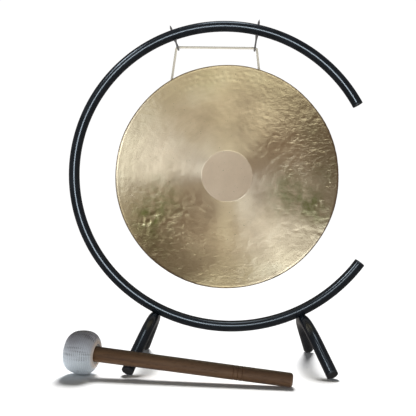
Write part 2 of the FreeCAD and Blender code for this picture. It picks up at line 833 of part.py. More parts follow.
# ------------------------------------------------------------------------ the cord
def cord_route(placement):
    """From the left hole over both hooks to the right hole: four points, all at Y = 0."""
    wrap = float(dim("hook_wire")) + float(dim("cord_radius")) + float(dim("cord_wrap_gap"))
    left_wire, right_wire = hook_wire_place("left"), hook_wire_place("right")
    ends = [placement.multVec(hole_point(side, rim_middle())) for side in ("left", "right")]
    level = (left_wire.z + right_wire.z) / 2 + wrap
    left_corner = corner_round(left_wire, ends[0], wrap, level, -1)
    right_corner = corner_round(right_wire, ends[1], wrap, level, 1)
    return [ends[0], left_corner, right_corner, ends[1]], wrap


def corner_round(wire, end, wrap, level, sign):
    """Where the strand from a hole, tangent to the wrap round a wire, meets the level run."""
    away = end - wire
    reach = math.hypot(away.x, away.z)
    bearing = math.atan2(away.z, away.x) + sign * math.acos(wrap / reach)
    touch = wire + Vector(math.cos(bearing), 0, math.sin(bearing)) * wrap
    strand = touch - end
    return end + strand * ((level - end.z) / strand.z)


def tube_along(points, radius, bends):
    """A round tube along straight runs joined by tangent arcs of the given radii."""
    edges = []
    start = points[0]
    length = 0.0
    for before, corner, after, bend in zip(points, points[1:], points[2:], bends):
        back = (before - corner).normalize()
        on = (after - corner).normalize()
        half = back.getAngle(on) / 2
        first, last = corner + back * (bend / math.tan(half)), corner + on * (bend / math.tan(half))
        centre = corner + (back + on).normalize() * (bend / math.sin(half))
        middle = centre + (corner - centre).normalize() * bend
        edges.append(Part.LineSegment(start, first).toShape())
        edges.append(Part.Arc(first, middle, last).toShape())
        length += (first - start).Length + bend * (math.pi - 2 * half)
        start = last
    edges.append(Part.LineSegment(start, points[-1]).toShape())
    length += (points[-1] - start).Length
    section = Part.Wire([Part.makeCircle(radius, points[0], points[1] - points[0])])
    solid = Part.Wire(edges).makePipeShell([section], True, False)
    return solid, length


def make_cord(placement):
    """The one cotton cord that carries the gong."""
    points, wrap = cord_route(placement)
    radius = float(dim("cord_radius"))
    solid, length = tube_along(points, radius, [wrap, wrap])
    cord = doc.addObject("Part::Feature", "hanging_cord")
    cord.Shape = solid
    cord.Placement = at(0, 0, 0)
    cord.Label = "hanging_cord"
    expected = math.pi * radius**2 * length
    print("cord length %.1f, volume %.0f of %.0f, bends %.2f" % (length, solid.Volume, expected, wrap))
    for point in points:
        print("  cord point", [round(value, 2) for value in point])
    return cord


# ---------------------------------------------------------------------- the mallet
def handle_at(place):
    """Radius of the tapered handle at a distance from the middle of the head."""
    return dim("handle_radius") - dim("handle_taper") * place


def mallet_placement():
    """The mallet's frame: Z along the handle, resting on the head and the handle's end."""
    belly, radius = float(dim("head_belly")), float(dim("head_radius"))
    end_round = float(dim("handle_round"))
    handle = float(handle_at(dim("handle_length") - dim("handle_round")))
    inset = radius - belly
    run = float(dim("handle_length")) - end_round
    rise = inset - handle + end_round
    slope = math.asin((belly - end_round) / math.hypot(run, rise)) + math.atan2(rise, run)
    height = inset * math.cos(slope) + belly
    turn = math.radians(float(dim("mallet_turn")))
    axis = Vector(
        math.cos(slope) * math.cos(turn), math.cos(slope) * math.sin(turn), -math.sin(slope)
    )
    middle = Vector(float(dim("mallet_x")), float(dim("mallet_y")), height)
    return Placement(middle, along(axis))


def make_handle():
    """The turned beech handle, with three grooves near its end."""
    length, inside = dim("handle_length"), dim("handle_inside")
    edge, depth = dim("handle_round"), dim("groove_depth")
    half, pitch = dim("groove_width") * 0.5, dim("groove_pitch")
    corners = [(0, -inside), (handle_at(-inside), -inside)]
    for i in (2, 1, 0):
        place = length - dim("groove_place") - pitch * i
        corners.append((handle_at(place - half), place - half))
        corners.append((handle_at(place) - depth, place))
        corners.append((handle_at(place + half), place + half))
    shoulder = handle_at(length - edge)
    corners += [(shoulder, length - edge, edge, 1), (shoulder - edge, length), (0, length)]
    return turned_body("mallet_handle", corners)


def make_core():
    """The wooden core, bored for the handle."""
    radius, edge = dim("core_radius"), as_size(2.5)
    top, bottom = dim("core_top"), -dim("core_bottom")
    bore = handle_at(-dim("handle_inside")) + 0.02
    corners = [
        (0, bottom),
        (radius - edge, bottom, edge, 1),
        (radius, bottom + edge),
        (radius, top - edge, edge, 1),
        (radius - edge, top),
        (bore, top),
        (bore, -dim("handle_inside") - 0.02),
        (0, -dim("handle_inside") - 0.02),
    ]
    return turned_body("mallet_core", corners)


def shoulder_place(reach):
    """Centre of a shoulder's arc and the turn of the belly's arc where they join."""
    belly, shoulder = float(dim("head_belly")), float(dim("head_shoulder"))
    turn = math.asin((reach - shoulder) / (belly - shoulder))
    inset = float(dim("head_radius")) - belly
    return inset + (belly - shoulder) * math.cos(turn), reach - shoulder, turn


def head_section(shrink):
    """Corners from the head's far end round to the recess's foot, moved inward."""
    inset = float(dim("head_radius") - dim("head_belly"))
    belly = float(dim("head_belly")) - shrink
    shoulder = float(dim("head_shoulder")) - shrink
    half = float(dim("head_half")) - shrink
    far, far_level, far_turn = shoulder_place(float(dim("head_half")))
    near, near_level, near_turn = shoulder_place(float(dim("head_near")))
    slope = math.radians(float(dim("recess_slope")))
    side = float(dim("recess_radius")) + shrink * math.cos(slope)
    level = float(dim("recess_floor")) - shrink * math.sin(slope)
    reach = (side - near) * math.sin(slope) + (level - near_level) * math.cos(slope)
    spare = (side - near) ** 2 + (level - near_level) ** 2 - shoulder**2
    climb = math.sqrt(reach**2 - spare) - reach
    floor = float(dim("recess_floor")) - shrink
    foot = side + (floor - level) * math.tan(slope)
    far_join = (inset + belly * math.cos(far_turn), -belly * math.sin(far_turn))
    near_join = (inset + belly * math.cos(near_turn), belly * math.sin(near_turn))
    return [
        (0.0, -half),
        (far, -half, shoulder, 1),
        (*far_join, belly, 1),
        (*near_join, shoulder, 1),
        (side + climb * math.sin(slope), level + climb * math.cos(slope)),
        (foot, floor),
    ]


def backwards(corners):
    """The same corners from last to first, each arc moved to its other end."""
    turned = []
    for index in range(len(corners) - 1, -1, -1):
        arc = corners[index - 1][2:] if index else ()
        if arc:
            turned.append((*corners[index][:2], arc[0], -arc[1]))
        else:
            turned.append(corners[index][:2])
    return turned


def make_padding():
    """The felt wound round the core."""
    gap = 0.15
    outside = head_section(float(dim("cover_thickness")) + gap)
    floor = outside[-1][1]
    handle, core = dim("handle_radius") + gap, dim("core_radius") + gap
    corners = outside + [
        (handle, floor),
        (handle, dim("core_top") + gap),
        (core, dim("core_top") + gap),
        (core, -dim("core_bottom") - gap),
        (0, -dim("core_bottom") - gap),
    ]
    return turned_body("mallet_padding", corners)


def make_cover():
    """The knitted cover drawn over the padding and gathered round the handle."""
    handle = dim("handle_radius") + 0.15
    outside = head_section(0.0)
    inside = head_section(float(dim("cover_thickness")))
    corners = outside + [(handle, outside[-1][1]), (handle, inside[-1][1])] + backwards(inside)
    return turned_body("mallet_cover", corners)


def make_tie(mallet):
    """The string round the gathered cover, at the bottom of the recess."""
    thick = dim("tie_radius")
    place = float(dim("recess_floor") + thick) + 0.15
    tie = primitive(
        "Torus",
        "mallet_tie",
        mallet * at(0, 0, place),
        Radius1=dim("handle_radius") + thick + 0.2,
        Radius2=thick,
    )
    tie.Label = "mallet_tie"
    return tie


def make_mallet():
    mallet = mallet_placement()
    pieces = [make_handle(), make_core(), make_padding(), make_cover()]
    for piece in pieces:
        piece.Placement = mallet
    return pieces + [make_tie(mallet)]


# ------------------------------------------------------------------- all the pieces
parts = [make_frame_tube()]
parts += make_ring_caps()
for leg_side in ("left", "right"):
    parts.append(make_leg(leg_side))
    parts += [make_foot_cap(leg_side, "front"), make_foot_cap(leg_side, "back")]
    parts += [make_screw(leg_side), make_washer(leg_side), make_insert(leg_side)]
    parts.append(make_hook(leg_side))
gong, gong_place, gong_lean = make_gong()
parts.append(gong)
parts += [make_knot("left", gong_place), make_knot("right", gong_place)]
parts.append(make_cord(gong_place))
parts += make_mallet()
doc.recompute()

for obj in doc.Objects:
    if {"Invalid", "Error"} & set(obj.State):
        raise ValueError("%s failed: %s" % (obj.Name, obj.State))
os.makedirs("parts", exist_ok=True)
for part in parts:
    shape = part.Shape
    if shape.isNull() or not shape.isValid() or not shape.Solids:
        raise ValueError(part.Label + " is not a valid solid")
    shape.exportStep("parts/%s.step" % part.Label)
    box = shape.BoundBox
    print("%-24s %10.0f mm3 %d  x %.1f..%.1f  y %.1f..%.1f  z %.2f..%.1f" % (
        part.Label, shape.Volume, len(shape.Solids),
        box.XMin, box.XMax, box.YMin, box.YMax, box.ZMin, box.ZMax,
    ))

print("gong leans %.2f degrees, mass centre %s" % (gong_lean, gong.Shape.Solids[0].CenterOfMass))
for hole_side in ("left", "right"):
    print("hole", hole_side, gong_place.multVec(hole_point(hole_side, rim_middle())))
    print("hook", hole_side, hook_wire_place(hole_side), "axis", hook_axis(hole_side))
    for foot_end in ("front", "back"):
        print("foot", hole_side, foot_end, foot_seat(hole_side, foot_end))
print("mallet", mallet_placement())
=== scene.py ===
import math

import bpy
import numpy as np
from mathutils import Matrix, Vector


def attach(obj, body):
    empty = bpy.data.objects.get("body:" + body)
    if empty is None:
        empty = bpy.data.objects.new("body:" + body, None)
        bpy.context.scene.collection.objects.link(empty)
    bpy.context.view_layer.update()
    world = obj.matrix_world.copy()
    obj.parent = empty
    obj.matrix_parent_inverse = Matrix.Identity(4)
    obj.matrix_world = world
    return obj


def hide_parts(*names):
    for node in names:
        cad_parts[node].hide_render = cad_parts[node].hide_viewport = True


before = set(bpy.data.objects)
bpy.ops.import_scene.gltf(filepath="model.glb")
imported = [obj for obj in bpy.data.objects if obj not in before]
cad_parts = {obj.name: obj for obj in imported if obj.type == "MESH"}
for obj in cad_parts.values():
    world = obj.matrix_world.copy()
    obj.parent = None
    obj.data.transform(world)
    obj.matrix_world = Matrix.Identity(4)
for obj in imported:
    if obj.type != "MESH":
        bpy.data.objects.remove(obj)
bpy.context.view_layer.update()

scene = bpy.context.scene
MM = 0.001


# ---- node helpers


def add_node(tree, kind, sockets=(), **settings):
    """A shader node with its settings, and its sockets linked or given a value."""
    node = tree.nodes.new("ShaderNode" + kind)
    for setting, value in settings.items():
        setattr(node, setting, value)
    for socket, value in dict(sockets).items():
        if isinstance(value, bpy.types.NodeSocket):
            tree.links.new(value, node.inputs[socket])
        else:
            node.inputs[socket].default_value = value
    return node


class Shader:
    """A node material: its Principled shader and short ways to add nodes."""

    def __init__(self, name, **sockets):
        self.material = bpy.data.materials.new(name)
        self.material.use_nodes = True
        self.tree = self.material.node_tree
        self.bsdf = self.tree.nodes["Principled BSDF"]
        for socket, value in sockets.items():
            self.bsdf.inputs[socket.replace("_", " ")].default_value = value

    def node(self, kind, sockets=(), **settings):
        return add_node(self.tree, kind, sockets, **settings)

    def place(self):
        return self.node("TexCoord").outputs["Object"]

    def attribute(self, name, output="Fac"):
        return self.node("Attribute", attribute_name=name).outputs[output]

    def noise(self, place, scale, detail=2.0, rough=0.5, distortion=0.0):
        names = ("Vector", "Scale", "Detail", "Roughness", "Distortion")
        sockets = zip(names, (place, scale, detail, rough, distortion))
        return self.node("TexNoise", sockets).outputs["Fac"]

    def stretch(self, place, scale, turn=(0, 0, 0)):
        sockets = {"Vector": place, "Scale": scale, "Rotation": turn}
        return self.node("Mapping", sockets).outputs["Vector"]

    def ramp(self, value, stops):
        """Colours, or greys given as one number, at the stops along a value from 0 to 1."""
        node = self.node("ValToRGB", {"Fac": value})
        ramp = node.color_ramp
        while len(ramp.elements) < len(stops):
            ramp.elements.new(1.0)
        for element, (place, colour) in zip(ramp.elements, stops):
            element.position = place
            if isinstance(colour, (int, float)):
                colour = (colour, colour, colour)
            element.color = (*colour, 1.0)
        return node.outputs["Color"]

    def mix(self, factor, first, second, blend="MIX"):
        """Two colours mixed; a Mix node's colours are its sockets 6 and 7 and its output 2."""
        sockets = {0: factor}
        for index, colour in ((6, first), (7, second)):
            sockets[index] = (*colour, 1.0) if isinstance(colour, tuple) else colour
        return self.node("Mix", sockets, data_type="RGBA", blend_type=blend).outputs[2]

    def math(self, operation, first, second, clamp=False):
        sockets = {0: first, 1: second}
        return self.node("Math", sockets, operation=operation, use_clamp=clamp).outputs[0]

    def fade(self, value, start, stop, low, high):
        """A value that goes from low to high between start and stop."""
        return self.node("MapRange", {0: value, 1: start, 2: stop, 3: low, 4: high}).outputs[0]

    def bump(self, height, distance, strength=1.0, below=None):
        sockets = {"Height": height, "Distance": distance, "Strength": strength}
        if below is not None:
            sockets["Normal"] = below
        return self.node("Bump", sockets).outputs["Normal"]

    def set(self, **links):
        """Links outputs to the shader's sockets."""
        for socket, output in links.items():
            self.tree.links.new(output, self.bsdf.inputs[socket.replace("_", " ")])
        return self


# ---- mesh helpers


def new_object(name, points, faces, shader):
    mesh = bpy.data.meshes.new(name)
    mesh.from_pydata([tuple(p) for p in points], [], [tuple(f) for f in faces])
    mesh.validate()
    mesh.update()
    mesh.materials.append(shader.material)
    mesh.polygons.foreach_set("use_smooth", [True] * len(mesh.polygons))
    made = bpy.data.objects.new(name, mesh)
    scene.collection.objects.link(made)
    return made


def new_piece(name, points, faces, shader, body, slot, *replaces):
    """A mesh piece in the row frame, with its body and the nodes it stands for; slot is not used.
    """
    piece = new_object(name, points, faces, shader)
    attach(piece, body)
    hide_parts(*replaces)
    return piece


def add_attribute(mesh, name, values):
    """A number, or a vector, for each point of a mesh, which the materials read."""
    values = np.asarray(values, dtype=np.float32)
    kind, field = ("FLOAT_VECTOR", "vector") if values.ndim == 2 else ("FLOAT", "value")
    attribute = mesh.attributes.new(name, kind, "POINT")
    attribute.data.foreach_set(field, values.ravel())


def bearing_bell(bearing, middle, spread):
    """1 at the middle bearing and falling to 0 on both sides of it, in degrees."""
    away = (bearing - middle + 180) % 360 - 180
    return np.exp(-((away / spread) ** 2))


def grid_faces(rows, columns, start=0):
    """Quads between the rows of a grid of points, whose rows are closed rings."""
    faces = []
    for row in range(rows - 1):
        for column in range(columns):
            beside = (column + 1) % columns
            a = start + row * columns
            b = a + columns
            faces.append((b + column, b + beside, a + beside, a + column))
    return faces


def edges_of(faces):
    """The edges of faces, each in its face's direction."""
    return [edge for face in faces for edge in zip(face, face[1:] + face[:1])]


def frames_along(line, up):
    """Each point of a line with two directions square to it; up fixes their twist."""
    up = Vector(up)
    frames = []
    for index, centre in enumerate(line):
        ahead = line[min(index + 1, len(line) - 1)] - line[max(index - 1, 0)]
        ahead.normalize()
        across = ahead.cross(up).normalized()
        up = across.cross(ahead).normalized()
        frames.append((centre, across, up))
    return frames


def sweep(centres, radii, sides, up):
    """Points and faces of a capped tube along centres."""
    centres = [Vector(c) for c in centres]
    points = []
    count = len(centres)
    for (centre, across, over), radius in zip(frames_along(centres, up), radii):
        for side in range(sides):
            angle = 2 * math.pi * side / sides
            arm = across * math.cos(angle) + over * math.sin(angle)
            points.append(centre + arm * radius)
    faces = grid_faces(count, sides)
    points += [centres[0], centres[-1]]
    first, last = len(points) - 2, len(points) - 1
    tail = (count - 1) * sides
    for side in range(sides):
        beside = (side + 1) % sides
        faces.append((side, beside, first))
        faces.append((tail + beside, tail + side, last))
    return points, faces


def join(parts):
    """One list of points and one of faces from several."""
    points, faces = [], []
    for more_points, more_faces in parts:
        start = len(points)
        points += list(more_points)
        faces += [tuple(start + i for i in face) for face in more_faces]
    return points, faces


def resample(points, step):
    """The same line with its points a given step apart, and its length."""
    points = np.array([tuple(p) for p in points])
    lengths = np.append(0.0, np.cumsum(np.linalg.norm(np.diff(points, axis=0), axis=1)))
    count = max(2, int(round(lengths[-1] / step)) + 1)
    goals = np.linspace(0.0, lengths[-1], count)
    columns = [np.interp(goals, lengths, points[:, axis]) for axis in range(3)]
    return [Vector(p) for p in zip(*columns)], lengths[-1]


def twisted(line, diameter, pitch, sides=10, up=(0, 1, 0), step=0.9 * MM):
    """A laid rope of three strands round a line; they overlap a little, so no gap shows."""
    line, length = resample(line, step)
    strands, overlap = 3, 1.06
    radius = diameter / 2
    strand = radius / (1 + 2 / math.sqrt(3))
    reach = radius - strand
    parts = []
    frames = frames_along(line, up)
    for number in range(strands):
        centres = []
        for index, (centre, across, over) in enumerate(frames):
            travelled = length * index / (len(line) - 1)
            angle = 2 * math.pi * (number / strands + travelled / pitch)
            arm = across * math.cos(angle) + over * math.sin(angle)
            centres.append(centre + arm * reach)
        radii = [strand * overlap] * len(centres)
        parts.append(sweep(centres, radii, sides, (0, 1, 0)))
    return join(parts)


# ---- materials


def powder_coat():
    coat = Shader("black_powder_coat", Specular_IOR_Level=0.28)
    place = coat.place()
    peel = coat.noise(place, 1400.0, 2.0, 0.4)
    wide = coat.noise(place, 45.0, 3.0)
    colour = coat.ramp(wide, ((0.3, (0.003, 0.004, 0.005)), (0.7, (0.007, 0.008, 0.010))))
    dust = coat.noise(place, 2200.0, 1.0)
    colour = coat.mix(coat.ramp(dust, ((0.74, 0.0), (0.84, 0.2))), colour, (0.05, 0.055, 0.06))
    rough = coat.ramp(wide, ((0.3, 0.19), (0.7, 0.22)))
    normal = coat.bump(peel, 0.000001, 0.1)
    return coat.set(Base_Color=colour, Roughness=rough, Normal=normal)


def grained(name, grain, patch, colours, roughs, bump, **sockets):
    """Plastic or metal with a fine grain; its colour follows wider patches, or the grain."""
    shader = Shader(name, **sockets)
    place = shader.place()
    fine = shader.noise(place, *grain)
    wide = shader.noise(place, *patch) if patch else fine
    rough = shader.ramp(fine, ((0.3, roughs[0]), (0.7, roughs[1])))
    normal = shader.bump(fine, *bump)
    return shader.set(Base_Color=shader.ramp(wide, colours), Roughness=rough, Normal=normal)


def moulded_plastic():
    colours = ((0.3, (0.006, 0.006, 0.007)), (0.7, (0.012, 0.012, 0.013)))
    grain, patch, bump = (1800.0, 2.0), (120.0, 2.0), (0.00005, 0.5)
    roughs = (0.38, 0.52)
    return grained("black_cap", grain, patch, colours, roughs, bump, Specular_IOR_Level=0.28)


def steel(name, grain, patch, colours, roughs, bump):
    return grained(name, grain, patch, colours, roughs, bump, Metallic=1.0)


def blackened_steel():
    colours = ((0.35, (0.03, 0.03, 0.032)), (0.75, (0.08, 0.08, 0.085)))
    return steel("black_screw", (1500.0, 3.0, 0.6), None, colours, (0.3, 0.48), (0.00003, 0.5))


def zinc():
    colours = ((0.3, (0.42, 0.41, 0.36)), (0.7, (0.62, 0.60, 0.52)))
    return steel("zinc_steel", (900.0, 3.0, 0.6), None, colours, (0.25, 0.42), (0.00003, 0.4))


def hook_steel():
    colours = ((0.3, (0.40, 0.41, 0.43)), (0.7, (0.62, 0.63, 0.66)))
    grain, patch, bump = (1200.0, 4.0, 0.6), (180.0, 2.0), (0.00004, 0.5)
    return steel("hook_steel", grain, patch, colours, (0.26, 0.45), bump)


def cotton(name):
    sheen = {"Sheen_Weight": 0.35, "Sheen_Roughness": 0.5}
    cord = Shader(name, Roughness=0.9, Specular_IOR_Level=0.25, **sheen)
    place = cord.place()
    fibre = cord.noise(place, 2400.0, 3.0, 0.6)
    patch = cord.noise(place, 90.0, 2.0)
    colour = cord.ramp(fibre, ((0.32, (0.58, 0.53, 0.48)), (0.62, (0.93, 0.88, 0.72))))
    colour = cord.mix(cord.ramp(patch, ((0.4, 0.0), (0.7, 0.25))), colour, (0.70, 0.63, 0.56))
    return cord.set(Base_Color=colour, Normal=cord.bump(fibre, 0.00025, 0.7))


def turned_wood(axis_turn):
    """Hardwood with its grain along the handle; axis_turn brings the handle onto X."""
    wood = Shader("handle_wood", Specular_IOR_Level=0.4, Coat_Weight=0.15, Coat_Roughness=0.35)
    place = wood.stretch(wood.place(), (1.0, 1.0, 1.0), axis_turn)
    along = wood.stretch(place, (6.0, 70.0, 70.0))
    grain = wood.noise(along, 1.0, 6.0, 0.62, 0.6)
    pores = wood.noise(wood.stretch(place, (90.0, 1500.0, 1500.0)), 1.0, 2.0, 0.5)
    tone = wood.noise(wood.stretch(place, (5.0, 22.0, 22.0)), 1.0, 2.0)
    dark, middle, light = (0.085, 0.038, 0.017), (0.19, 0.099, 0.044), (0.30, 0.176, 0.088)
    colour = wood.ramp(grain, ((0.30, dark), (0.48, middle), (0.70, light)))
    colour = wood.mix(wood.ramp(tone, ((0.35, 0.0), (0.7, 0.45))), colour, (0.15, 0.078, 0.045))
    pored = wood.ramp(pores, ((0.30, 0.75), (0.42, 0.0)))
    colour = wood.mix(pored, colour, (0.07, 0.03, 0.015))
    # painted shade: the handle is darker on its upward-facing side
    facing = wood.node("SeparateXYZ", {"Vector": wood.node("NewGeometry").outputs["Normal"]})
    upper_side_shade = wood.fade(facing.outputs["Z"], 0.0, 0.95, 0.0, 0.55)
    colour = wood.mix(upper_side_shade, colour, (0.045, 0.026, 0.015))
    normal = wood.bump(pores, 0.00012, 0.5)
    rough = wood.ramp(grain, ((0.3, 0.42), (0.7, 0.58)))
    return wood.set(Base_Color=colour, Roughness=rough, Normal=normal)


def knit_cotton():
    sheen = {"Sheen_Weight": 0.5, "Sheen_Roughness": 0.45}
    knit = Shader("knit", Roughness=0.92, Specular_IOR_Level=0.2, **sheen)
    place = knit.place()
    fibre = knit.noise(place, 1700.0, 3.0, 0.6)
    deep = knit.attribute("knit_height")
    patch = knit.noise(place, 45.0, 3.0, 0.55)
    # painted shade: the cover is greyer on its upper side, broken into patches
    top_shade = knit.attribute("knit_top_shade")
    colour = knit.ramp(fibre, ((0.30, (0.61, 0.68, 0.77)), (0.68, (0.90, 0.97, 1.0))))
    painted_shading = knit.math("MULTIPLY", top_shade, knit.ramp(patch, ((0.30, 0.70), (0.70, 1.0))))
    colour = knit.mix(painted_shading, colour, (0.31, 0.275, 0.305))
    # painted shade: the knit is darker where its surface lies low, between the stitch rows and in
    # the folds
    shade = knit.ramp(deep, ((0.0, 0.42), (0.55, 1.0)))
    colour = knit.mix(1.0, colour, shade, "MULTIPLY")
    cream = knit.attribute("knit_rim")
    colour = knit.mix(cream, colour, (0.72, 0.58, 0.46))
    return knit.set(Base_Color=colour, Normal=knit.bump(fibre, 0.0003, 0.6))


def bronze(name, roughness, anisotropic, brushed, blush=(1.0, 1.0, 1.0)):
    """Turned bronze; the attribute turned holds the outward direction and the radius in metres."""
    metal = Shader(name, Metallic=1.0, Anisotropic=anisotropic)
    turned = metal.attribute("turned", "Vector")
    place = metal.place()
    rings = metal.noise(metal.stretch(turned, (1.2, 1.2, 900.0)), 1.0, 3.0, 0.6)
    streak = metal.noise(metal.stretch(turned, (3.0, 3.0, 260.0)), 1.0, 3.0, 0.6)
    patch = metal.noise(place, 16.0, 4.0, 0.6)
    fleck = metal.noise(place, 420.0, 2.0, 0.5)
    dark, middle, light = (0.58, 0.39, 0.23), (0.72, 0.495, 0.29), (0.80, 0.58, 0.355)
    colour = metal.ramp(patch, ((0.30, dark), (0.52, middle), (0.72, light)))
    tint = metal.ramp(streak, ((0.35, 0.0), (0.75, 0.30)))
    colour = metal.mix(tint, colour, (0.56, 0.35, 0.21))
    blotch = metal.ramp(metal.noise(place, 55.0, 5.0, 0.65), ((0.38, 0.25), (0.62, 1.0)))
    stain = metal.math("MULTIPLY", metal.attribute("patina"), blotch)
    colour = metal.mix(stain, colour, (0.225, 0.215, 0.065))
    reach = metal.node("SeparateXYZ", {"Vector": turned}).outputs["Z"]
    border = metal.fade(reach, 0.130, 0.175, 0.0, 0.28)
    colour = metal.mix(border, colour, (0.34, 0.235, 0.105))
    grime = metal.fade(reach, 0.110, 0.190, 0.0, 0.55)
    grime = metal.math("MULTIPLY", grime, metal.attribute("hammered"), clamp=True)
    colour = metal.mix(grime, colour, (0.27, 0.185, 0.10))
    edge = metal.fade(reach, 0.194, 0.198, 0.0, 0.8)
    colour = metal.mix(edge, colour, (0.30, 0.19, 0.11))
    # painted sheen: the face is lighter from the centre disc out to about 100 mm
    painted_shading = metal.fade(reach, 0.046, 0.100, 0.5, 0.0)
    colour = metal.mix(painted_shading, colour, (0.90, 0.66, 0.43))
    colour = metal.mix(1.0, colour, blush, "MULTIPLY")
    pits = metal.ramp(fleck, ((0.24, 0.85), (0.29, 0.0)))
    colour = metal.mix(pits, colour, (0.16, 0.11, 0.07))
    rough = metal.math("ADD", metal.math("MULTIPLY", patch, 0.12), roughness - 0.06)
    rough = metal.math("ADD", rough, metal.math("MULTIPLY", pits, 0.2))
    crinkle = metal.noise(metal.stretch(place, (0.5, 1.0, 1.0)), 190.0, 4.0, 0.55, 1.0)
    crinkle = metal.math("MULTIPLY", crinkle, metal.attribute("hammered"))
    normal = metal.bump(crinkle, 0.0009, 0.9)
    normal = metal.bump(rings, 0.00004, brushed, normal)
    if anisotropic:
        tangent = metal.node("Tangent", direction_type="RADIAL", axis="Y").outputs["Tangent"]
        metal.set(Tangent=tangent)
        metal.bsdf.inputs["Anisotropic Rotation"].default_value = 0.25
    return metal.set(Base_Color=colour, Roughness=rough, Normal=normal)


# ---- gong

GONG_BASE = Vector((-6.3, -10.0, 326.0)) * MM
GONG_LEAN = math.radians(3.38)
HOLE_LEFT = Vector((-108.458, 0.0, 496.019)) * MM
HOLE_RIGHT = Vector((48.705, 0.0, 516.571)) * MM
GONG_RADIUS = 200.0
GONG_WALL = 1.8
GONG_CORNER = 6.0
GONG_DEPTH = 22.0
RIM_LEAN = 3.0
CENTRE_RADIUS = 45.0
CENTRE_STEP = 0.12
BORDER_RADIUS = 165.0
GONG_DOME = 8.0
HOLE_RADIUS = 4.25
HOLE_SETBACK = 10.0
HOLE_SMOOTH = 5.0
HOLE_FADE = 6.0
HOLE_BEARINGS = (math.radians(90 + 31.0), math.radians(90 - 16.1))

# the gong's mesh: the columns stand closer, in radians, by the cord holes; the rest is in mm
GONG_COLUMNS = 448
HOLE_COLUMN_STEP = 0.0042
LEAST_COLUMN_STEP = 0.0036
RELIEF_HALF = 204.0
RELIEF_STEP = 0.75

# the hammering: bearings are degrees round the face from the right, radii and depths in mm
FACE_RADIUS = 196.0
HAMMER_MARKS = 1500
CRINKLED_ZONES = (  # bearing, spread, amount
    (12, 34.0, 1.0),
    (232, 36.0, 0.85),
    (62, 26.0, 0.45),
    (150, 30.0, 0.25),
    (280, 30.0, 0.35),
)
WRINKLES = (  # bearing, spread, number, depth
    (0.0, 20.0, 420, 1.0),
    (226.0, 18.0, 340, 1.1),
    (55.0, 16.0, 90, 0.8),
)
BORDER_RINGS = ((171.5, 96), (180.0, 100), (188.0, 104))  # radius, number of dimples
DEEP_DENTS = ((210.4, 164.0), (-15.7, 167.0))  # bearing, radius
STAINS = (  # bearing, radius, spread, amount
    (-17.0, 160.0, 26.0, 0.9),
    (209.0, 163.0, 24.0, 1.0),
    (-14.0, 110.0, 36.0, 0.7),
    (203.0, 122.0, 36.0, 0.65),
    (4.0, 180.0, 30.0, 0.50),
    (224.0, 178.0, 34.0, 0.60),
    (-22.0, 185.0, 20.0, 0.45),
    (28.0, 172.0, 20.0, 0.25),
    (102.0, 178.0, 26.0, 0.20),
)

upright = Matrix.Translation(GONG_BASE) @ Matrix.Rotation(math.radians(90), 4, "X")
hole_line = (HOLE_RIGHT - HOLE_LEFT).normalized()
gong_swing = (
    Matrix.Translation(HOLE_LEFT)
    @ Matrix.Rotation(GONG_LEAN, 4, hole_line)
    @ Matrix.Translation(-HOLE_LEFT)
)
gong_place = gong_swing @ upright


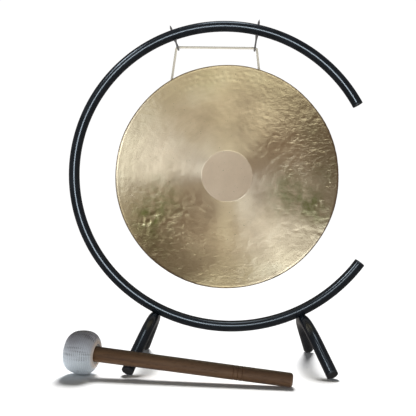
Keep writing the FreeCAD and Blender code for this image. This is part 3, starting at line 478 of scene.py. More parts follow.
def relief_map(rng, half, step):
    """Hammer marks and long waves of the sheet on a square grid, in mm."""
    count = int(2 * half / step) + 1
    axis = np.linspace(-half, half, count)
    x, y = np.meshgrid(axis, axis, indexing="ij")
    radius = np.hypot(x, y)
    bearing = np.degrees(np.arctan2(y, x))
    height = np.zeros_like(x)

    def waves(size, amount, number):
        total = np.zeros_like(x)
        for _ in range(number):
            turn = rng.uniform(0, 2 * math.pi)
            length = size * rng.uniform(0.7, 1.5)
            phase = rng.uniform(0, 2 * math.pi)
            ahead = x * math.cos(turn) + y * math.sin(turn)
            total += np.sin(2 * math.pi * ahead / length + phase)
        return total * amount / math.sqrt(number / 2)

    def creases(size, number):
        """Sharp folds in all directions, from -1 to 1."""
        folded = waves(size, 1.0, number) + 0.8 * waves(size * 2.4, 1.0, number)
        return 1.0 - 2.0 * np.tanh(np.sqrt(folded**2 + 0.10) * 1.1)

    height += waves(95.0, 0.22, 9)
    rough_zone = np.zeros_like(x)
    for middle, spread, amount in CRINKLED_ZONES:
        rough_zone += amount * bearing_bell(bearing, middle, spread)
    rough_zone = np.minimum(rough_zone, 1.2) * np.clip((radius - CENTRE_RADIUS - 1) / 90, 0, 1)
    height += creases(13.0, 24) * (0.008 + 0.100 * rough_zone)
    height += creases(24.0, 20) * waves(60.0, 0.6, 12) * (0.02 + 0.23 * rough_zone)
    height += waves(7.0, 0.006, 30) * (0.5 + rough_zone)

    def dimple(cx, cy, size, depth, ratio, turn):
        reach = size * max(ratio, 1.0)
        i0, i1 = np.searchsorted(axis, [cx - reach, cx + reach])
        j0, j1 = np.searchsorted(axis, [cy - reach, cy + reach])
        dx = x[i0:i1, j0:j1] - cx
        dy = y[i0:i1, j0:j1] - cy
        a = (dx * math.cos(turn) + dy * math.sin(turn)) / (size * ratio)
        b = (-dx * math.sin(turn) + dy * math.cos(turn)) / size
        d = a * a + b * b
        height[i0:i1, j0:j1] -= depth * np.where(d < 1, (1 - d) ** 2, 0.0)

    for _ in range(HAMMER_MARKS):
        r = math.sqrt(rng.uniform((CENTRE_RADIUS + 8) ** 2, FACE_RADIUS**2))
        angle = rng.uniform(0, 2 * math.pi)
        zone = math.degrees(angle)
        strong = bearing_bell(zone, 18, 42.0) + bearing_bell(zone, 232, 36.0)
        size = rng.uniform(4.5, 9.0)
        depth = rng.uniform(0.03, 0.10) * (0.6 + 1.6 * min(strong, 1.0))
        long = rng.uniform(1.0, 1.7)
        dimple(r * math.cos(angle), r * math.sin(angle), size, depth, long, angle + 1.57)
    for middle, spread, number, deep in WRINKLES:
        for _ in range(number):
            angle = math.radians(rng.normal(middle, spread))
            r = math.sqrt(rng.uniform(95.0**2, FACE_RADIUS**2))
            size, long = rng.uniform(2.8, 4.4), rng.uniform(1.6, 2.8)
            turn = rng.uniform(-0.35, 0.35)
            depth = deep * rng.uniform(0.08, 0.20)
            dimple(r * math.cos(angle), r * math.sin(angle), size, depth, long, turn)
    for ring, number in BORDER_RINGS:
        for index in range(number):
            angle = 2 * math.pi * (index + rng.uniform(-0.3, 0.3)) / number
            r = ring + rng.uniform(-2.0, 2.0)
            size = rng.uniform(3.2, 4.6)
            depth = rng.uniform(0.05, 0.14)
            depth *= 1.0 + 2.6 * bearing_bell(math.degrees(angle), 96, 24)
            dimple(r * math.cos(angle), r * math.sin(angle), size, depth, 1.25, angle)
    for angle, r in DEEP_DENTS:
        angle = math.radians(angle)
        for _ in range(9):
            cx = r * math.cos(angle) + rng.uniform(-7, 7)
            cy = r * math.sin(angle) + rng.uniform(-7, 7)
            dimple(cx, cy, rng.uniform(2.6, 4.4), rng.uniform(0.3, 0.7), 1.4, rng.uniform(0, 3.1))
    height *= np.clip((radius - CENTRE_RADIUS - 1.0) / 14.0, 0.0, 1.0)
    return axis, height, rough_zone


def face_height(r):
    """Height of the domed face at a radius, with faint ridges where the border begins."""
    edge = GONG_RADIUS - GONG_CORNER
    face = GONG_DOME * (edge**2 - r**2) / (edge**2 - CENTRE_RADIUS**2)
    ridges = 0.035 * math.cos(r * 1.7) * math.exp(-(((r - BORDER_RADIUS) / 8.0) ** 2))
    return min(face, GONG_DOME) + ridges


def gong_section():
    """Stations of the gong's outer surface: radius, height and the unit normal."""
    stations = []
    for r in (0.6, 6.0, 14.0, 24.0, 34.0, 41.0, 44.4):
        stations.append((r, GONG_DOME + CENTRE_STEP, 0.0, 1.0))
    stations.append((CENTRE_RADIUS, GONG_DOME + CENTRE_STEP - 0.02, 0.2, 0.98))
    stations.append((CENTRE_RADIUS + 0.35, GONG_DOME, 0.1, 0.99))
    edge = GONG_RADIUS - GONG_CORNER
    for r in np.linspace(CENTRE_RADIUS + 1.2, edge - 0.8, 97):
        stations.append((r, face_height(r), 0.0, 1.0))
    for angle in np.linspace(0, 90, 9):
        s, c = math.sin(math.radians(angle)), math.cos(math.radians(angle))
        stations.append((edge + GONG_CORNER * s, GONG_CORNER * (c - 1), s, c))
    for z in np.linspace(-7.3, -GONG_DEPTH + 0.6, 11):
        lean = RIM_LEAN * (-z - GONG_CORNER) / (GONG_DEPTH - GONG_CORNER)
        stations.append((GONG_RADIUS - lean, z, 0.983, -0.184))
    return stations


def make_gong(face_material, centre_material):
    """The hammered sheet with its turned-back rim, its thickness and the two cord holes."""
    axis, relief, zone = relief_map(np.random.default_rng(41), RELIEF_HALF, RELIEF_STEP)
    base = np.linspace(0, 2 * math.pi, GONG_COLUMNS, endpoint=False)
    extra = []
    for bearing in HOLE_BEARINGS:
        extra += [bearing + k * HOLE_COLUMN_STEP for k in range(-6, 7)]
    angles = np.sort(np.concatenate([base, np.array(extra)]))
    keep = [0]
    for index in range(1, len(angles)):
        if angles[index] - angles[keep[-1]] > LEAST_COLUMN_STEP:
            keep.append(index)
    angles = angles[keep]
    columns = len(angles)
    stations = gong_section()

    def sample(x, y, relief=relief):
        step = axis[1] - axis[0]
        fx = np.clip((x - axis[0]) / step, 0, len(axis) - 2)
        fy = np.clip((y - axis[0]) / step, 0, len(axis) - 2)
        i, j = fx.astype(int), fy.astype(int)
        a, b = fx - i, fy - j
        low = relief[i, j] * (1 - a) + relief[i + 1, j] * a
        high = relief[i, j + 1] * (1 - a) + relief[i + 1, j + 1] * a
        return low * (1 - b) + high * b

    cos, sin = np.cos(angles), np.sin(angles)

    def ring(r, z, nr, nz, inward):
        """One ring of points, hammered, and set back by inward along the normal."""
        sample_r = min(r, GONG_RADIUS - 1.0) if z > -GONG_CORNER else GONG_RADIUS - 8.0 + z * 0.9
        bump = sample(sample_r * cos, sample_r * sin)
        if z <= -GONG_CORNER:
            bump = bump * 0.8
        fade = np.ones(columns)
        for bearing in HOLE_BEARINGS:
            away = np.hypot((angles - bearing) * r, z + HOLE_SETBACK)
            fade = np.minimum(fade, np.clip((away - HOLE_SMOOTH) / HOLE_FADE, 0, 1))
        if z > -1.0:
            fade = np.ones(columns)
        bump = bump * fade - inward
        radial = r + bump * nr
        return np.stack([radial * cos, radial * sin, z + bump * nz], axis=1)

    outer = [ring(*station, 0.0) for station in stations]
    back_stations = stations[:7:2] + stations[7:9] + stations[9:106:2] + stations[106:]
    inner = [ring(*station, GONG_WALL) for station in back_stations]
    last = stations[-1]
    lip = []
    for k in range(1, 6):
        turn = math.pi * k / 6
        r = last[0] - GONG_WALL / 2 + GONG_WALL / 2 * math.cos(turn)
        z = last[1] - 0.6 * math.sin(turn)
        lip.append(ring(r, z, 0.0, 0.0, 0.0))
    rows = outer + lip + inner[::-1]
    points = np.concatenate(rows)
    count = len(points)
    front_pole, back_pole = count, count + 1
    points = np.concatenate([points, [[0, 0, stations[0][1]], [0, 0, stations[0][1] - GONG_WALL]]])
    faces = [face[3:] + face[:3] for face in grid_faces(len(rows), columns)]
    tail = (len(rows) - 1) * columns
    for column in range(columns):
        beside = (column + 1) % columns
        faces.append((front_pole, column, beside))
        faces.append((back_pole, tail + beside, tail + column))

    # the cord holes: faces inside each circle go, and the edge left is drawn onto the circle
    middle_r = GONG_RADIUS - RIM_LEAN * (HOLE_SETBACK - GONG_CORNER) / (GONG_DEPTH - GONG_CORNER)
    radius_of = np.hypot(points[:, 0], points[:, 1])
    angle_of = np.arctan2(points[:, 1], points[:, 0])
    gone = np.zeros(len(faces), dtype=bool)
    walls = []
    for bearing in HOLE_BEARINGS:
        turn = (angle_of - bearing + math.pi) % (2 * math.pi) - math.pi
        across = turn * middle_r
        along = points[:, 2] + HOLE_SETBACK
        near = (np.hypot(across, along) < 12) & (radius_of > GONG_RADIUS - 8)
        inside = near & (np.hypot(across, along) < HOLE_RADIUS)
        outside_wall = radius_of > middle_r - GONG_WALL / 2
        for number, face in enumerate(faces):
            if near[face[0]] and inside[list(face)].sum() >= max(2, len(face) / 2):
                gone[number] = True
        walls.append((near, across, along, outside_wall, bearing))
    kept = [face for number, face in enumerate(faces) if not gone[number]]
    removed = [face for number, face in enumerate(faces) if gone[number]]
    kept_edges = set(edges_of(kept))
    border = [(a, b) for a, b in edges_of(removed) if (b, a) in kept_edges]
    for near, across, along, outside_wall, bearing in walls:
        loop = {v for edge in border for v in edge if near[v]}
        for v in loop:
            reach = math.hypot(across[v], along[v])
            scale = HOLE_RADIUS / reach
            angle = bearing + across[v] * scale / middle_r
            r = radius_of[v]
            points[v] = (r * math.cos(angle), r * math.sin(angle), along[v] * scale - HOLE_SETBACK)
        front = [e for e in border if near[e[0]] and outside_wall[e[0]]]
        back = [e for e in border if near[e[0]] and not outside_wall[e[0]]]
        back_points = {v for e in back for v in e}

        def partner(v):
            """The point on the inside edge of the hole that faces a point on the outside edge."""
            apart = {w: math.hypot(across[w] - across[v], along[w] - along[v]) for w in back_points}
            return min(apart, key=apart.get)

        for a, b in front:
            c, d = partner(a), partner(b)
            kept.append((a, b, d, c) if c != d else (a, b, d))
    used = sorted({v for face in kept for v in face})
    renumber = {v: n for n, v in enumerate(used)}
    kept = [tuple(renumber[v] for v in face) for face in kept]
    flat = points[used]
    world = [gong_place @ (Vector(p) * MM) for p in flat]
    gong = new_piece("gong_bronze", world, kept, face_material, "gong", "bronze", "gong_disc")
    mesh = gong.data
    mesh.materials.append(centre_material.material)
    r = np.hypot(flat[:, 0], flat[:, 1])
    safe = np.maximum(r, 1e-6)
    add_attribute(mesh, "turned", np.stack([flat[:, 0] / safe, flat[:, 1] / safe, r * MM], axis=1))
    add_attribute(mesh, "hammered", sample(flat[:, 0], flat[:, 1], zone))
    patina = np.zeros(len(flat))
    for bearing, centre, spread, amount in STAINS:
        turn = math.radians(bearing)
        dx, dy = flat[:, 0] - centre * math.cos(turn), flat[:, 1] - centre * math.sin(turn)
        patina += amount * np.exp(-(dx * dx + dy * dy) / spread**2)
    add_attribute(mesh, "patina", np.clip(patina, 0, 1))
    for polygon in mesh.polygons:
        far = max(math.hypot(flat[v][0], flat[v][1]) for v in polygon.vertices)
        if far < CENTRE_RADIUS + 0.02 and flat[polygon.vertices[0]][2] > GONG_DOME:
            polygon.material_index = 1
    return gong


# ---- stand

TUBE_RADIUS = 9.5
TUBE_CHAMFER = 0.3
TUBE_STEP = 2.4
TUBE_SIDES = 48
LOWER_CENTRE = Vector((0.0, 0.0, 348.6))
LOWER_RADIUS = 286.0
SIDE_RADIUS = 265.0
UPPER_RADIUS = 270.0
LOWER_END = 52.6
SIDE_START = -40.6
UPPER_START = SIDE_START - 116.0
UPPER_END = UPPER_START - 84.3
LEG_BEARING = 25.5
LEG_REACH = 17.0
LEG_TILT = math.radians(22.0)
LEG_CROWN = 7.0
LEG_BEND = 95.0
LEG_TURN = math.radians(48.0)
LEG_STRAIGHT = 55.2


def outward(bearing):
    """Unit vector in the ring's plane, degrees from straight down towards +X."""
    angle = math.radians(bearing)
    return Vector((math.sin(angle), 0.0, -math.cos(angle)))


def tube_piece(name, line, node, material):
    """A tube swept along a line, with its ends drawn in a little under the caps."""
    line, _ = resample(line, TUBE_STEP)
    first = line[0] + (line[1] - line[0]).normalized() * TUBE_CHAMFER
    last = line[-1] + (line[-2] - line[-1]).normalized() * TUBE_CHAMFER
    centres = [line[0], first] + line[1:-1] + [last, line[-1]]
    radii = [TUBE_RADIUS] * len(centres)
    radii[0] = radii[-1] = TUBE_RADIUS - TUBE_CHAMFER
    up = (0, 1, 0) if node == "frame_tube" else (1, 0, 0)
    points, faces = sweep(centres, radii, TUBE_SIDES, up)
    if node != "frame_tube":
        points = [off_the_ring(Vector(point)) for point in points]
    points = [Vector(point) * MM for point in points]
    return new_piece(name, points, faces, material, "stand", "black_powder_coat", node)


def off_the_ring(point):
    """The leg's crown is hollowed where the ring sits in it."""
    flat = Vector((point.x, 0.0, point.z)) - LOWER_CENTRE
    middle = LOWER_CENTRE + flat.normalized() * LOWER_RADIUS
    away = point - middle
    if away.length < TUBE_RADIUS + 0.05:
        point = middle + away.normalized() * (TUBE_RADIUS + 0.05)
    return point


def make_ring(material):
    side_centre = LOWER_CENTRE + outward(SIDE_START) * (LOWER_RADIUS - SIDE_RADIUS)
    upper_centre = side_centre + outward(UPPER_START) * (SIDE_RADIUS - UPPER_RADIUS)
    line = []
    for centre, radius, start, stop in (
        (LOWER_CENTRE, LOWER_RADIUS, LOWER_END, SIDE_START),
        (side_centre, SIDE_RADIUS, SIDE_START, UPPER_START),
        (upper_centre, UPPER_RADIUS, UPPER_START, UPPER_END),
    ):
        bearings = np.linspace(start, stop, 160)
        line += [centre + outward(b) * radius for b in bearings[1 if line else 0 :]]
    return tube_piece("ring_tube", line, "frame_tube", material)


def make_leg(side, material):
    """An arch from front to back, leaning outward from its crown under the ring."""
    sign = -1 if side == "left" else 1
    crown = LOWER_CENTRE + outward(sign * LEG_BEARING) * (LOWER_RADIUS + LEG_REACH)
    half = [(0.0, 0.0), (LEG_CROWN, 0.0)]
    for angle in np.linspace(0, LEG_TURN, 40)[1:]:
        half.append((LEG_CROWN + LEG_BEND * math.sin(angle), LEG_BEND * (1 - math.cos(angle))))
    out, down = half[-1]
    foot = (out + LEG_STRAIGHT * math.cos(LEG_TURN), down + LEG_STRAIGHT * math.sin(LEG_TURN))
    half.append(foot)
    arch = [(-out, down) for out, down in half[:0:-1]] + half
    lean_x, lean_z = sign * math.sin(LEG_TILT), math.cos(LEG_TILT)
    line = [crown + Vector((down * lean_x, out, -down * lean_z)) for out, down in arch]
    return tube_piece("arch_leg_" + side, line, "leg_" + side, material)


# ---- cord

KNOT_DEPTH = 6.3 * MM
KNOT_SIZE = 1.15 * MM
KNOT_ROPE = 4.0 * MM
KNOT_PITCH = 11.0 * MM
KNOT_FIBRES = 26
CORD_DIAMETER = 4.5 * MM
CORD_ROUTE = [
    (-0.10846, 0.0, 0.49602),
    (-0.10176, 0.0, 0.54982),
    (-0.10070, 0.0, 0.55835),
    (-0.09210, 0.0, 0.55835),
    (0.03512, 0.0, 0.55835),
    (0.04372, 0.0, 0.55835),
    (0.04474, 0.0, 0.54981),
    (0.04871, 0.0, 0.51657),
]


def smooth_line(name, route):
    """Points along the NURBS spline whose control points are the route."""
    curve = bpy.data.curves.new(name, "CURVE")
    curve.dimensions = "3D"
    spline = curve.splines.new("NURBS")
    spline.points.add(len(route) - 1)
    for point, place in zip(spline.points, route):
        point.co = (*place, 1.0)
    spline.order_u = 3
    spline.use_endpoint_u = True
    spline.resolution_u = 24
    holder = bpy.data.objects.new(name, curve)
    mesh = bpy.data.meshes.new_from_object(holder)
    points = [v.co.copy() for v in mesh.vertices]
    bpy.data.objects.remove(holder)
    bpy.data.curves.remove(curve)
    bpy.data.meshes.remove(mesh)
    return points


def make_cord(material):
    path = smooth_line("cord_route", CORD_ROUTE)
    points, faces = twisted(path, CORD_DIAMETER, 3.0 * CORD_DIAMETER)
    cord = new_piece(
        "hanging_rope", points, faces, material, "cord", "cotton_cord", "hanging_cord"
    )


def make_knot(side, hole, material):
    """An overhand knot inside the rim, with its stub through the hole and a frayed tail."""
    centre = gong_place @ Vector((0, 0, -HOLE_SETBACK * MM))
    inward = (centre - hole).normalized()
    knot_centre = hole + inward * KNOT_DEPTH
    across = Vector((0, 1, 0)).cross(inward).normalized()
    over = inward.cross(across).normalized()
    line = [hole - inward * 1.2 * MM, hole + inward * 0.8 * MM]
    for step in range(1, 40):
        t = math.pi * 2 * step / 40 + 0.25
        a = KNOT_SIZE * (math.sin(t) + 2 * math.sin(2 * t))
        b = KNOT_SIZE * (math.cos(t) - 2 * math.cos(2 * t))
        c = -KNOT_SIZE * 1.2 * math.sin(3 * t)
        line.append(knot_centre + inward * a + across * b + over * c)
    tail = (inward + Vector((0, 0.35, -0.5))).normalized()
    line.append(knot_centre + tail * 5.0 * MM)
    line.append(knot_centre + tail * 11.5 * MM)
    lay = {"up": (0.3, 0.9, 0.1), "step": 0.6 * MM, "sides": 8}
    rope = twisted(line, KNOT_ROPE, KNOT_PITCH, **lay)
    rng = np.random.default_rng(7 if side == "left" else 8)
    fibres = []
    start = knot_centre + tail * 11.0 * MM
    for _ in range(KNOT_FIBRES):
        spread = Vector(rng.normal(0, 1, 3)) * 0.55
        root = start + Vector(rng.normal(0, 1, 3)) * 0.7 * MM
        reach = rng.uniform(2.0, 3.6) * MM
        bend = root + (tail + spread * 0.35).normalized() * reach * 0.55
        tip = root + (tail + spread).normalized() * reach
        radii = [0.35 * MM, 0.28 * MM, 0.08 * MM]
        fibres.append(sweep([root, bend, tip], radii, 5, (0.2, 0.9, 0.3)))
    points, faces = join([rope] + fibres)
    name, node = "knot_" + side, "cord_knot_" + side
    new_piece(name, points, faces, material, "gong", "cotton_cord", node)


# ---- mallet

MALLET_CENTRE = Vector((-227.7, -113.7, 33.544)) * MM
MALLET_TURN = math.radians(-10.39)
MALLET_DIP = math.radians(4.169)
mallet_place = Matrix.Rotation(MALLET_TURN, 3, "Z") @ Matrix.Rotation(MALLET_DIP, 3, "Y")
mallet_axis, mallet_side, mallet_up = [Vector(column) for column in mallet_place.col]


def on_mallet(along, radius, angle):
    """A point round the mallet's axis: distance along it in mm, radius in mm, angle."""
    arm = mallet_side * math.cos(angle) + mallet_up * math.sin(angle)
    return MALLET_CENTRE + mallet_axis * along * MM + arm * radius * MM


HEAD_RADIUS = 33.5
HEAD_BELLY = 50.0
HEAD_SHOULDER = 18.0
HEAD_HALF = 26.0
HEAD_NEAR = 22.8
RIM_RADIUS = 16.8
WALES = 64
PER_WALE = 6
COURSE = 3.1
PROFILE_STEP = 0.62
FOLDS = 46
TIE_START = 18.6
TIE_WIDTH = 1.9
TIE_RADIUS = 12.9
TIE_TURNS = 3.0


def shoulder_arc(reach):
    """Centre of a shoulder's arc, along and out, and the angle where the belly meets it."""
    turn = math.asin((reach - HEAD_SHOULDER) / (HEAD_BELLY - HEAD_SHOULDER))
    out = HEAD_RADIUS - HEAD_BELLY + (HEAD_BELLY - HEAD_SHOULDER) * math.cos(turn)
    return reach - HEAD_SHOULDER, out, turn


def head_line():
    """The head's profile from its far end round the belly to the handle: along, radius."""
    line = []
    far_along, far_out, far_turn = shoulder_arc(HEAD_HALF)
    near_along, near_out, near_turn = shoulder_arc(HEAD_NEAR)
    for part in np.linspace(0.06, 0.94, 9):
        line.append((-HEAD_HALF - 0.5 * (1 - part), far_out * part))
    for angle in np.linspace(math.pi / 2, far_turn, 30):
        out = far_out + HEAD_SHOULDER * math.cos(angle)
        line.append((-far_along - HEAD_SHOULDER * math.sin(angle), out))
    for angle in np.linspace(-far_turn, near_turn, 24)[1:-1]:
        out = HEAD_RADIUS - HEAD_BELLY + HEAD_BELLY * math.cos(angle)
        line.append((HEAD_BELLY * math.sin(angle), out))
    for angle in np.linspace(near_turn, math.radians(83), 28):
        out = near_out + HEAD_SHOULDER * math.cos(angle)
        line.append((near_along + HEAD_SHOULDER * math.sin(angle), out))
    line += [(22.9, RIM_RADIUS), (22.3, 16.2), (21.4, 15.3)]
    line += [(20.2, 14.4), (19.3, 13.4), (18.7, 12.4)]
    return line


def make_head(material):
    rng = np.random.default_rng(5)
    profile = [Vector((a, r, 0)) for a, r in head_line()]
    profile, length = resample(profile, PROFILE_STEP)
    rows = len(profile)
    columns = WALES * PER_WALE
    folds = []
    for _ in range(FOLDS):
        middle = rng.uniform(0.2, 0.85)
        angle, width = rng.uniform(0, 2 * math.pi), rng.uniform(0.03, 0.07)
        folds.append((angle, width, rng.uniform(0.4, 1.0), middle))
    angles = np.linspace(0, 2 * math.pi, columns, endpoint=False)
    points = np.zeros((rows, columns, 3))
    heights = np.zeros((rows, columns))
    top_shades = np.zeros((rows, columns))
    rims = np.zeros((rows, columns))
    drift = [(rng.uniform(0, 6.28), rng.uniform(0.5, 1.5), k) for k in (2, 3, 5, 7)]
    for row, place in enumerate(profile):
        along, radius = place.x, place.y
        ahead = profile[min(row + 1, rows - 1)] - profile[max(row - 1, 0)]
        ahead.normalize()
        out_along, out_radius = -ahead.y, ahead.x
        travel = row / (rows - 1)
        wander = sum(0.010 * w * math.sin(k * 0.9 * travel * 6 + p) for p, w, k in drift)
        for column, angle in enumerate(angles):
            wale = (angle / (2 * math.pi) * WALES + wander * WALES / 6.28) % 1.0 - 0.5
            legs = abs(math.sin(2 * math.pi * wale)) ** 0.7
            courses = travel * length / COURSE + 0.35 * abs(wale) + wander * 6
            rib = 0.5 + 0.5 * math.cos(2 * math.pi * courses)
            stitch = rib * (0.78 + 0.22 * legs)
            fold = 0.0
            for centre, width, amount, middle in folds:
                away = (angle - centre + math.pi) % (2 * math.pi) - math.pi
                here = math.exp(-(((travel - middle) / 0.16) ** 2))
                fold -= amount * math.exp(-((away / width) ** 2)) * here
            narrow = min(1.0, radius / 16.0)
            lift = (0.55 * stitch - 0.35) * narrow + fold * narrow * 0.55
            lift += 0.25 * math.sin(3 * angle + 2.1) * math.sin(travel * 9.0)
            r = max(radius + lift * out_radius, 0.3)
            points[row, column] = on_mallet(along + lift * out_along, r, angle)
            heights[row, column] = stitch * 0.8 + 0.35 + 0.6 * fold
            # painted shade: greyer towards the head's upper side
            top_shades[row, column] = min(max(0.30 + 0.68 * math.sin(angle), 0.0), 1.0)
            if travel > 0.6:
                rims[row, column] = 0.8 * math.exp(-(((along - HEAD_NEAR) / 1.6) ** 2))
    flat = points.reshape(-1, 3)
    pole = Vector(flat[:columns].mean(axis=0))
    faces = grid_faces(rows, columns)
    centre_index = len(flat)
    all_points = [Vector(p) for p in flat] + [pole]
    for column in range(columns):
        faces.append((centre_index, column, (column + 1) % columns))
    nodes = ("mallet_cover", "mallet_padding", "mallet_core")
    head = new_piece("mallet_knit_head", all_points, faces, material, "mallet", "knit", *nodes)
    for name, values in (("knit_height", heights), ("knit_top_shade", top_shades), ("knit_rim", rims)):
        add_attribute(head.data, name, np.append(values.ravel(), values[0].mean()))
    return head


def make_tie(material):
    """Three turns of twisted string round the gathered cover."""
    line = []
    for part in np.linspace(0.0, 1.0, 151):
        radius = TIE_RADIUS + 0.35 * math.sin(part * math.pi)
        angle = 2 * math.pi * TIE_TURNS * part + 0.6
        line.append(on_mallet(TIE_START + TIE_WIDTH * part, radius, angle))
    diameter, pitch, step = 1.25 * MM, 3.6 * MM, 0.45 * MM
    points, faces = twisted(line, diameter, pitch, up=tuple(mallet_axis), step=step, sides=6)
    name, node = "mallet_string", "mallet_tie"
    return new_piece(name, points, faces, material, "mallet", "cotton_cord", node)


# ---- build

coat = powder_coat()
cotton_cord = cotton("cotton_cord")
plastic, screw_black = moulded_plastic(), blackened_steel()
insert_zinc, bright = zinc(), hook_steel()
carried = {"frame_cap_lower": plastic, "frame_cap_upper": plastic}
for side in ("left", "right"):
    carried["saddle_washer_" + side] = coat
    carried["foot_cap_%s_front" % side] = plastic
    carried["foot_cap_%s_back" % side] = plastic
    carried["leg_screw_" + side] = screw_black
    carried["thread_insert_" + side] = insert_zinc
    carried["screw_hook_" + side] = bright
carried["mallet_handle"] = turned_wood((0.0, 0.0, -MALLET_TURN))
for node, shader in carried.items():
    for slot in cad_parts[node].material_slots:
        slot.material = shader.material

bronze_gong = make_gong(
    bronze("bronze_turned", 0.31, 0.95, 0.35),
    bronze("bronze_centre", 0.50, 0.0, 0.1, (0.905, 0.885, 0.94)),
)
ring = make_ring(coat)
legs = [make_leg("left", coat), make_leg("right", coat)]
make_cord(cotton_cord)
make_knot("left", HOLE_LEFT, cotton_cord)
make_knot("right", HOLE_RIGHT, cotton_cord)
head = make_head(knit_cotton())
tie = make_tie(cotton("tie_string"))
low_pieces = legs + [head, tie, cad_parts["mallet_handle"]]
low_pieces += [node for name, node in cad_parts.items() if name.startswith("foot_cap")]


# ---- studio


def make_floor():
    """A round sheet of pale paper, 12 m across, that lies level with the feet."""
    size, rings, columns = 6.0, 24, 96
    points = [Vector((0, 0, 0))]
    for ring in range(1, rings + 1):
        r = size * (ring / rings) ** 2
        for column in range(columns):
            angle = 2 * math.pi * column / columns
            points.append(Vector((r * math.cos(angle), r * math.sin(angle), 0)))
    faces = [(0, 1 + c, 1 + (c + 1) % columns) for c in range(columns)]
    faces += grid_faces(rings, columns, 1)
    paper = Shader("floor_paper", Roughness=0.9, Specular_IOR_Level=0.1)
    tone = paper.noise(paper.place(), 30.0, 2.0)
    colour = paper.ramp(tone, ((0.3, (0.88, 0.88, 0.88)), (0.7, (0.90, 0.90, 0.90))))
    paper.set(Base_Color=colour)
    floor = new_object("studio_floor", points, faces, paper)
    floor.visible_glossy = False
    return floor


# softboxes that stand about the gong and light it alone: a pair on the left, a pair low on the
# right, a bank of three over the top, one below and a weak one beside the pair on the left;
# bearing round the gong's front axis from the right in degrees, brightness and colour
SOFTBOX_DISTANCE = 4.0
SOFTBOX_SIZE = 3.2
SOFTBOX_OFF_AXIS = 50.0
DAYLIGHT = (0.73, 1.0, 1.32)
LAMP = (0.78, 1.0, 1.06)
SOFTBOXES = (
    (150.0, 7.0, DAYLIGHT),
    (170.0, 9.0, DAYLIGHT),
    (200.0, 3.5, LAMP),
    (270.0, 7.0, LAMP),
    (300.0, 9.0, DAYLIGHT),
    (320.0, 8.0, DAYLIGHT),
    (60.0, 5.5, LAMP),
    (90.0, 5.5, LAMP),
    (120.0, 3.5, LAMP),
)
REFLECTED_ROOM = (0.245, 0.23, 0.22, 1.0)
ROOM_ABOVE = 0.04
ROOM_LEVEL = 0.95
BACKDROP_LEVEL = 1.05
SUN_ANGLE = 20.0
SUN_POWER = 5.7
SUN_FROM = (0.0, 1.05, 1.0)
WINDOWS = (  # name, place, size and power
    ("window", (-0.12, -1.25, 0.42), (0.34, 0.34), 13.0),
    ("skylight", (-0.9, -0.9, 1.5), (0.22, 0.34), 13.0),
    ("ceiling", (0.0, -0.25, 1.75), (0.40, 0.60), 7.0),
)
WINDOW_TARGET = (0.0, 0.0, 0.3)
WINDOW_COLOUR = (0.74, 0.88, 1.0)


def make_world():
    """White behind everything, a dim room in reflections, and soft light from the sides."""
    world = bpy.data.worlds.new("studio")
    scene.world = world
    world.use_nodes = True
    tree = world.node_tree
    tree.nodes.clear()

    def node(kind, *inputs):
        return add_node(tree, kind, dict(enumerate(inputs))).outputs

    direction = node("TexCoord")["Generated"]
    height = node("SeparateXYZ", direction)["Z"]
    sides = node("MapRange", height, 0.0, 0.55, ROOM_LEVEL, ROOM_ABOVE)[0]
    room = node("Background", (0.93, 0.97, 1.0, 1.0), sides)[0]
    reflected = node("Background", REFLECTED_ROOM, 1.0)[0]
    backdrop = node("Background", (1.0, 1.0, 1.0, 1.0), BACKDROP_LEVEL)[0]
    path = node("LightPath")
    seen = node("MixShader", path["Is Glossy Ray"], room, reflected)[0]
    seen = node("MixShader", path["Is Camera Ray"], seen, backdrop)[0]
    node("OutputWorld", seen)
    world.cycles.sampling_method = "NONE"


def aimed(name, kind, place, target, lit, shading=None, **settings):
    """A light aimed at a point; lit are the only pieces it lights, shading those that shade."""
    data = bpy.data.lights.new(name, kind)
    for setting, value in settings.items():
        setattr(data, setting, value)
    light = bpy.data.objects.new(name, data)
    place, aim = Vector(place), Vector(target) - Vector(place)
    turn = aim.to_track_quat("-Z", "Y").to_matrix().to_4x4()
    light.matrix_world = Matrix.Translation(place) @ turn
    scene.collection.objects.link(light)
    for use, pieces in (("receiver", lit), ("blocker", shading)):
        if pieces:
            group = bpy.data.collections.new(name + "_" + use)
            for piece in pieces:
                group.objects.link(piece)
            setattr(light.light_linking, use + "_collection", group)
    return light


def fade_to_edge(data):
    """Makes a softbox brightest in its middle and dark at its edge."""
    data.use_nodes = True
    tree = data.node_tree
    across = add_node(tree, "NewGeometry").outputs["Parametric"]
    middle = {0: across, 1: (0.5, 0.5, 0.0)}
    away = add_node(tree, "VectorMath", middle, operation="DISTANCE").outputs["Value"]
    fade = add_node(tree, "MapRange", {0: away, 1: 0.5, 2: 0.0}, interpolation_type="SMOOTHSTEP")
    tree.links.new(fade.outputs["Result"], tree.nodes["Emission"].inputs["Strength"])


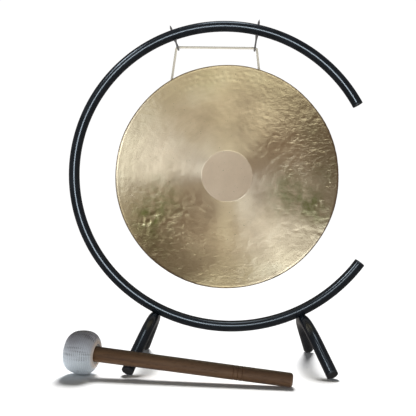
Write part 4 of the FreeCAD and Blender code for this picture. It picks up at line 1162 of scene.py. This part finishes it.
def make_softboxes(gong):
    """The softboxes stand round the gong's own axis, all at one distance and one angle off it."""
    centre, turn = gong_place.translation, gong_place.to_3x3()
    disc = math.pi * (SOFTBOX_SIZE / 2) ** 2
    off_axis = math.radians(SOFTBOX_OFF_AXIS)
    for index, (bearing, brightness, colour) in enumerate(SOFTBOXES):
        outward_arm = Vector((math.sin(off_axis), 0.0, math.cos(off_axis)))
        aim = Matrix.Rotation(math.radians(bearing), 3, "Z") @ outward_arm
        place = centre + turn @ aim * SOFTBOX_DISTANCE
        light = aimed("softbox_%d" % index, "AREA", place, centre, [gong], shape="DISK")
        light.data.size, light.data.color = SOFTBOX_SIZE, colour
        light.data.energy = brightness * math.pi * disc
        fade_to_edge(light.data)


def make_sun(floor, low_pieces):
    """One wide soft light from above and behind: the floor's white and the soft shadows."""
    light = aimed("overhead", "SUN", SUN_FROM, (0, 0, 0), [floor], low_pieces, energy=SUN_POWER)
    light.data.angle = math.radians(SUN_ANGLE)
    light.visible_glossy = False


def make_windows():
    """Small bright windows in front and above: the thin lines along the black tubes."""
    lit = ("frame_cap", "leg_screw", "foot_", "saddle")
    stand = [node for name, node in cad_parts.items() if name.startswith(lit)]
    stand += [ring] + legs
    for name, place, size, power in WINDOWS:
        light = aimed(name, "AREA", place, WINDOW_TARGET, stand, shape="RECTANGLE", energy=power)
        light.data.size, light.data.size_y = size
        light.data.color = WINDOW_COLOUR


CAMERA_PLACE = Vector((-25.6, -1034.0, 203.4)) * MM
CAMERA_YAW = math.radians(0.749)
CAMERA_PITCH = math.radians(3.619)
CAMERA_ROLL = math.radians(0.95)
CAMERA_FOCUS = 585.0 / 416.0


def make_camera():
    """The photograph's view of the set, from low in front."""
    data = bpy.data.cameras.new("camera")
    data.sensor_width = 36.0
    data.lens = 36.0 * CAMERA_FOCUS
    data.clip_start = 0.01
    camera = bpy.data.objects.new("camera", data)
    scene.collection.objects.link(camera)
    camera.matrix_world = (
        Matrix.Translation(CAMERA_PLACE)
        @ Matrix.Rotation(CAMERA_YAW, 4, "Z")
        @ Matrix.Rotation(math.pi / 2 + CAMERA_PITCH, 4, "X")
        @ Matrix.Rotation(CAMERA_ROLL, 4, "Z")
    )
    bpy.context.scene.camera = camera


floor = make_floor()
make_world()
make_softboxes(bronze_gong)
make_sun(floor, low_pieces)
make_windows()
make_camera()
scene.view_settings.view_transform = "Standard"
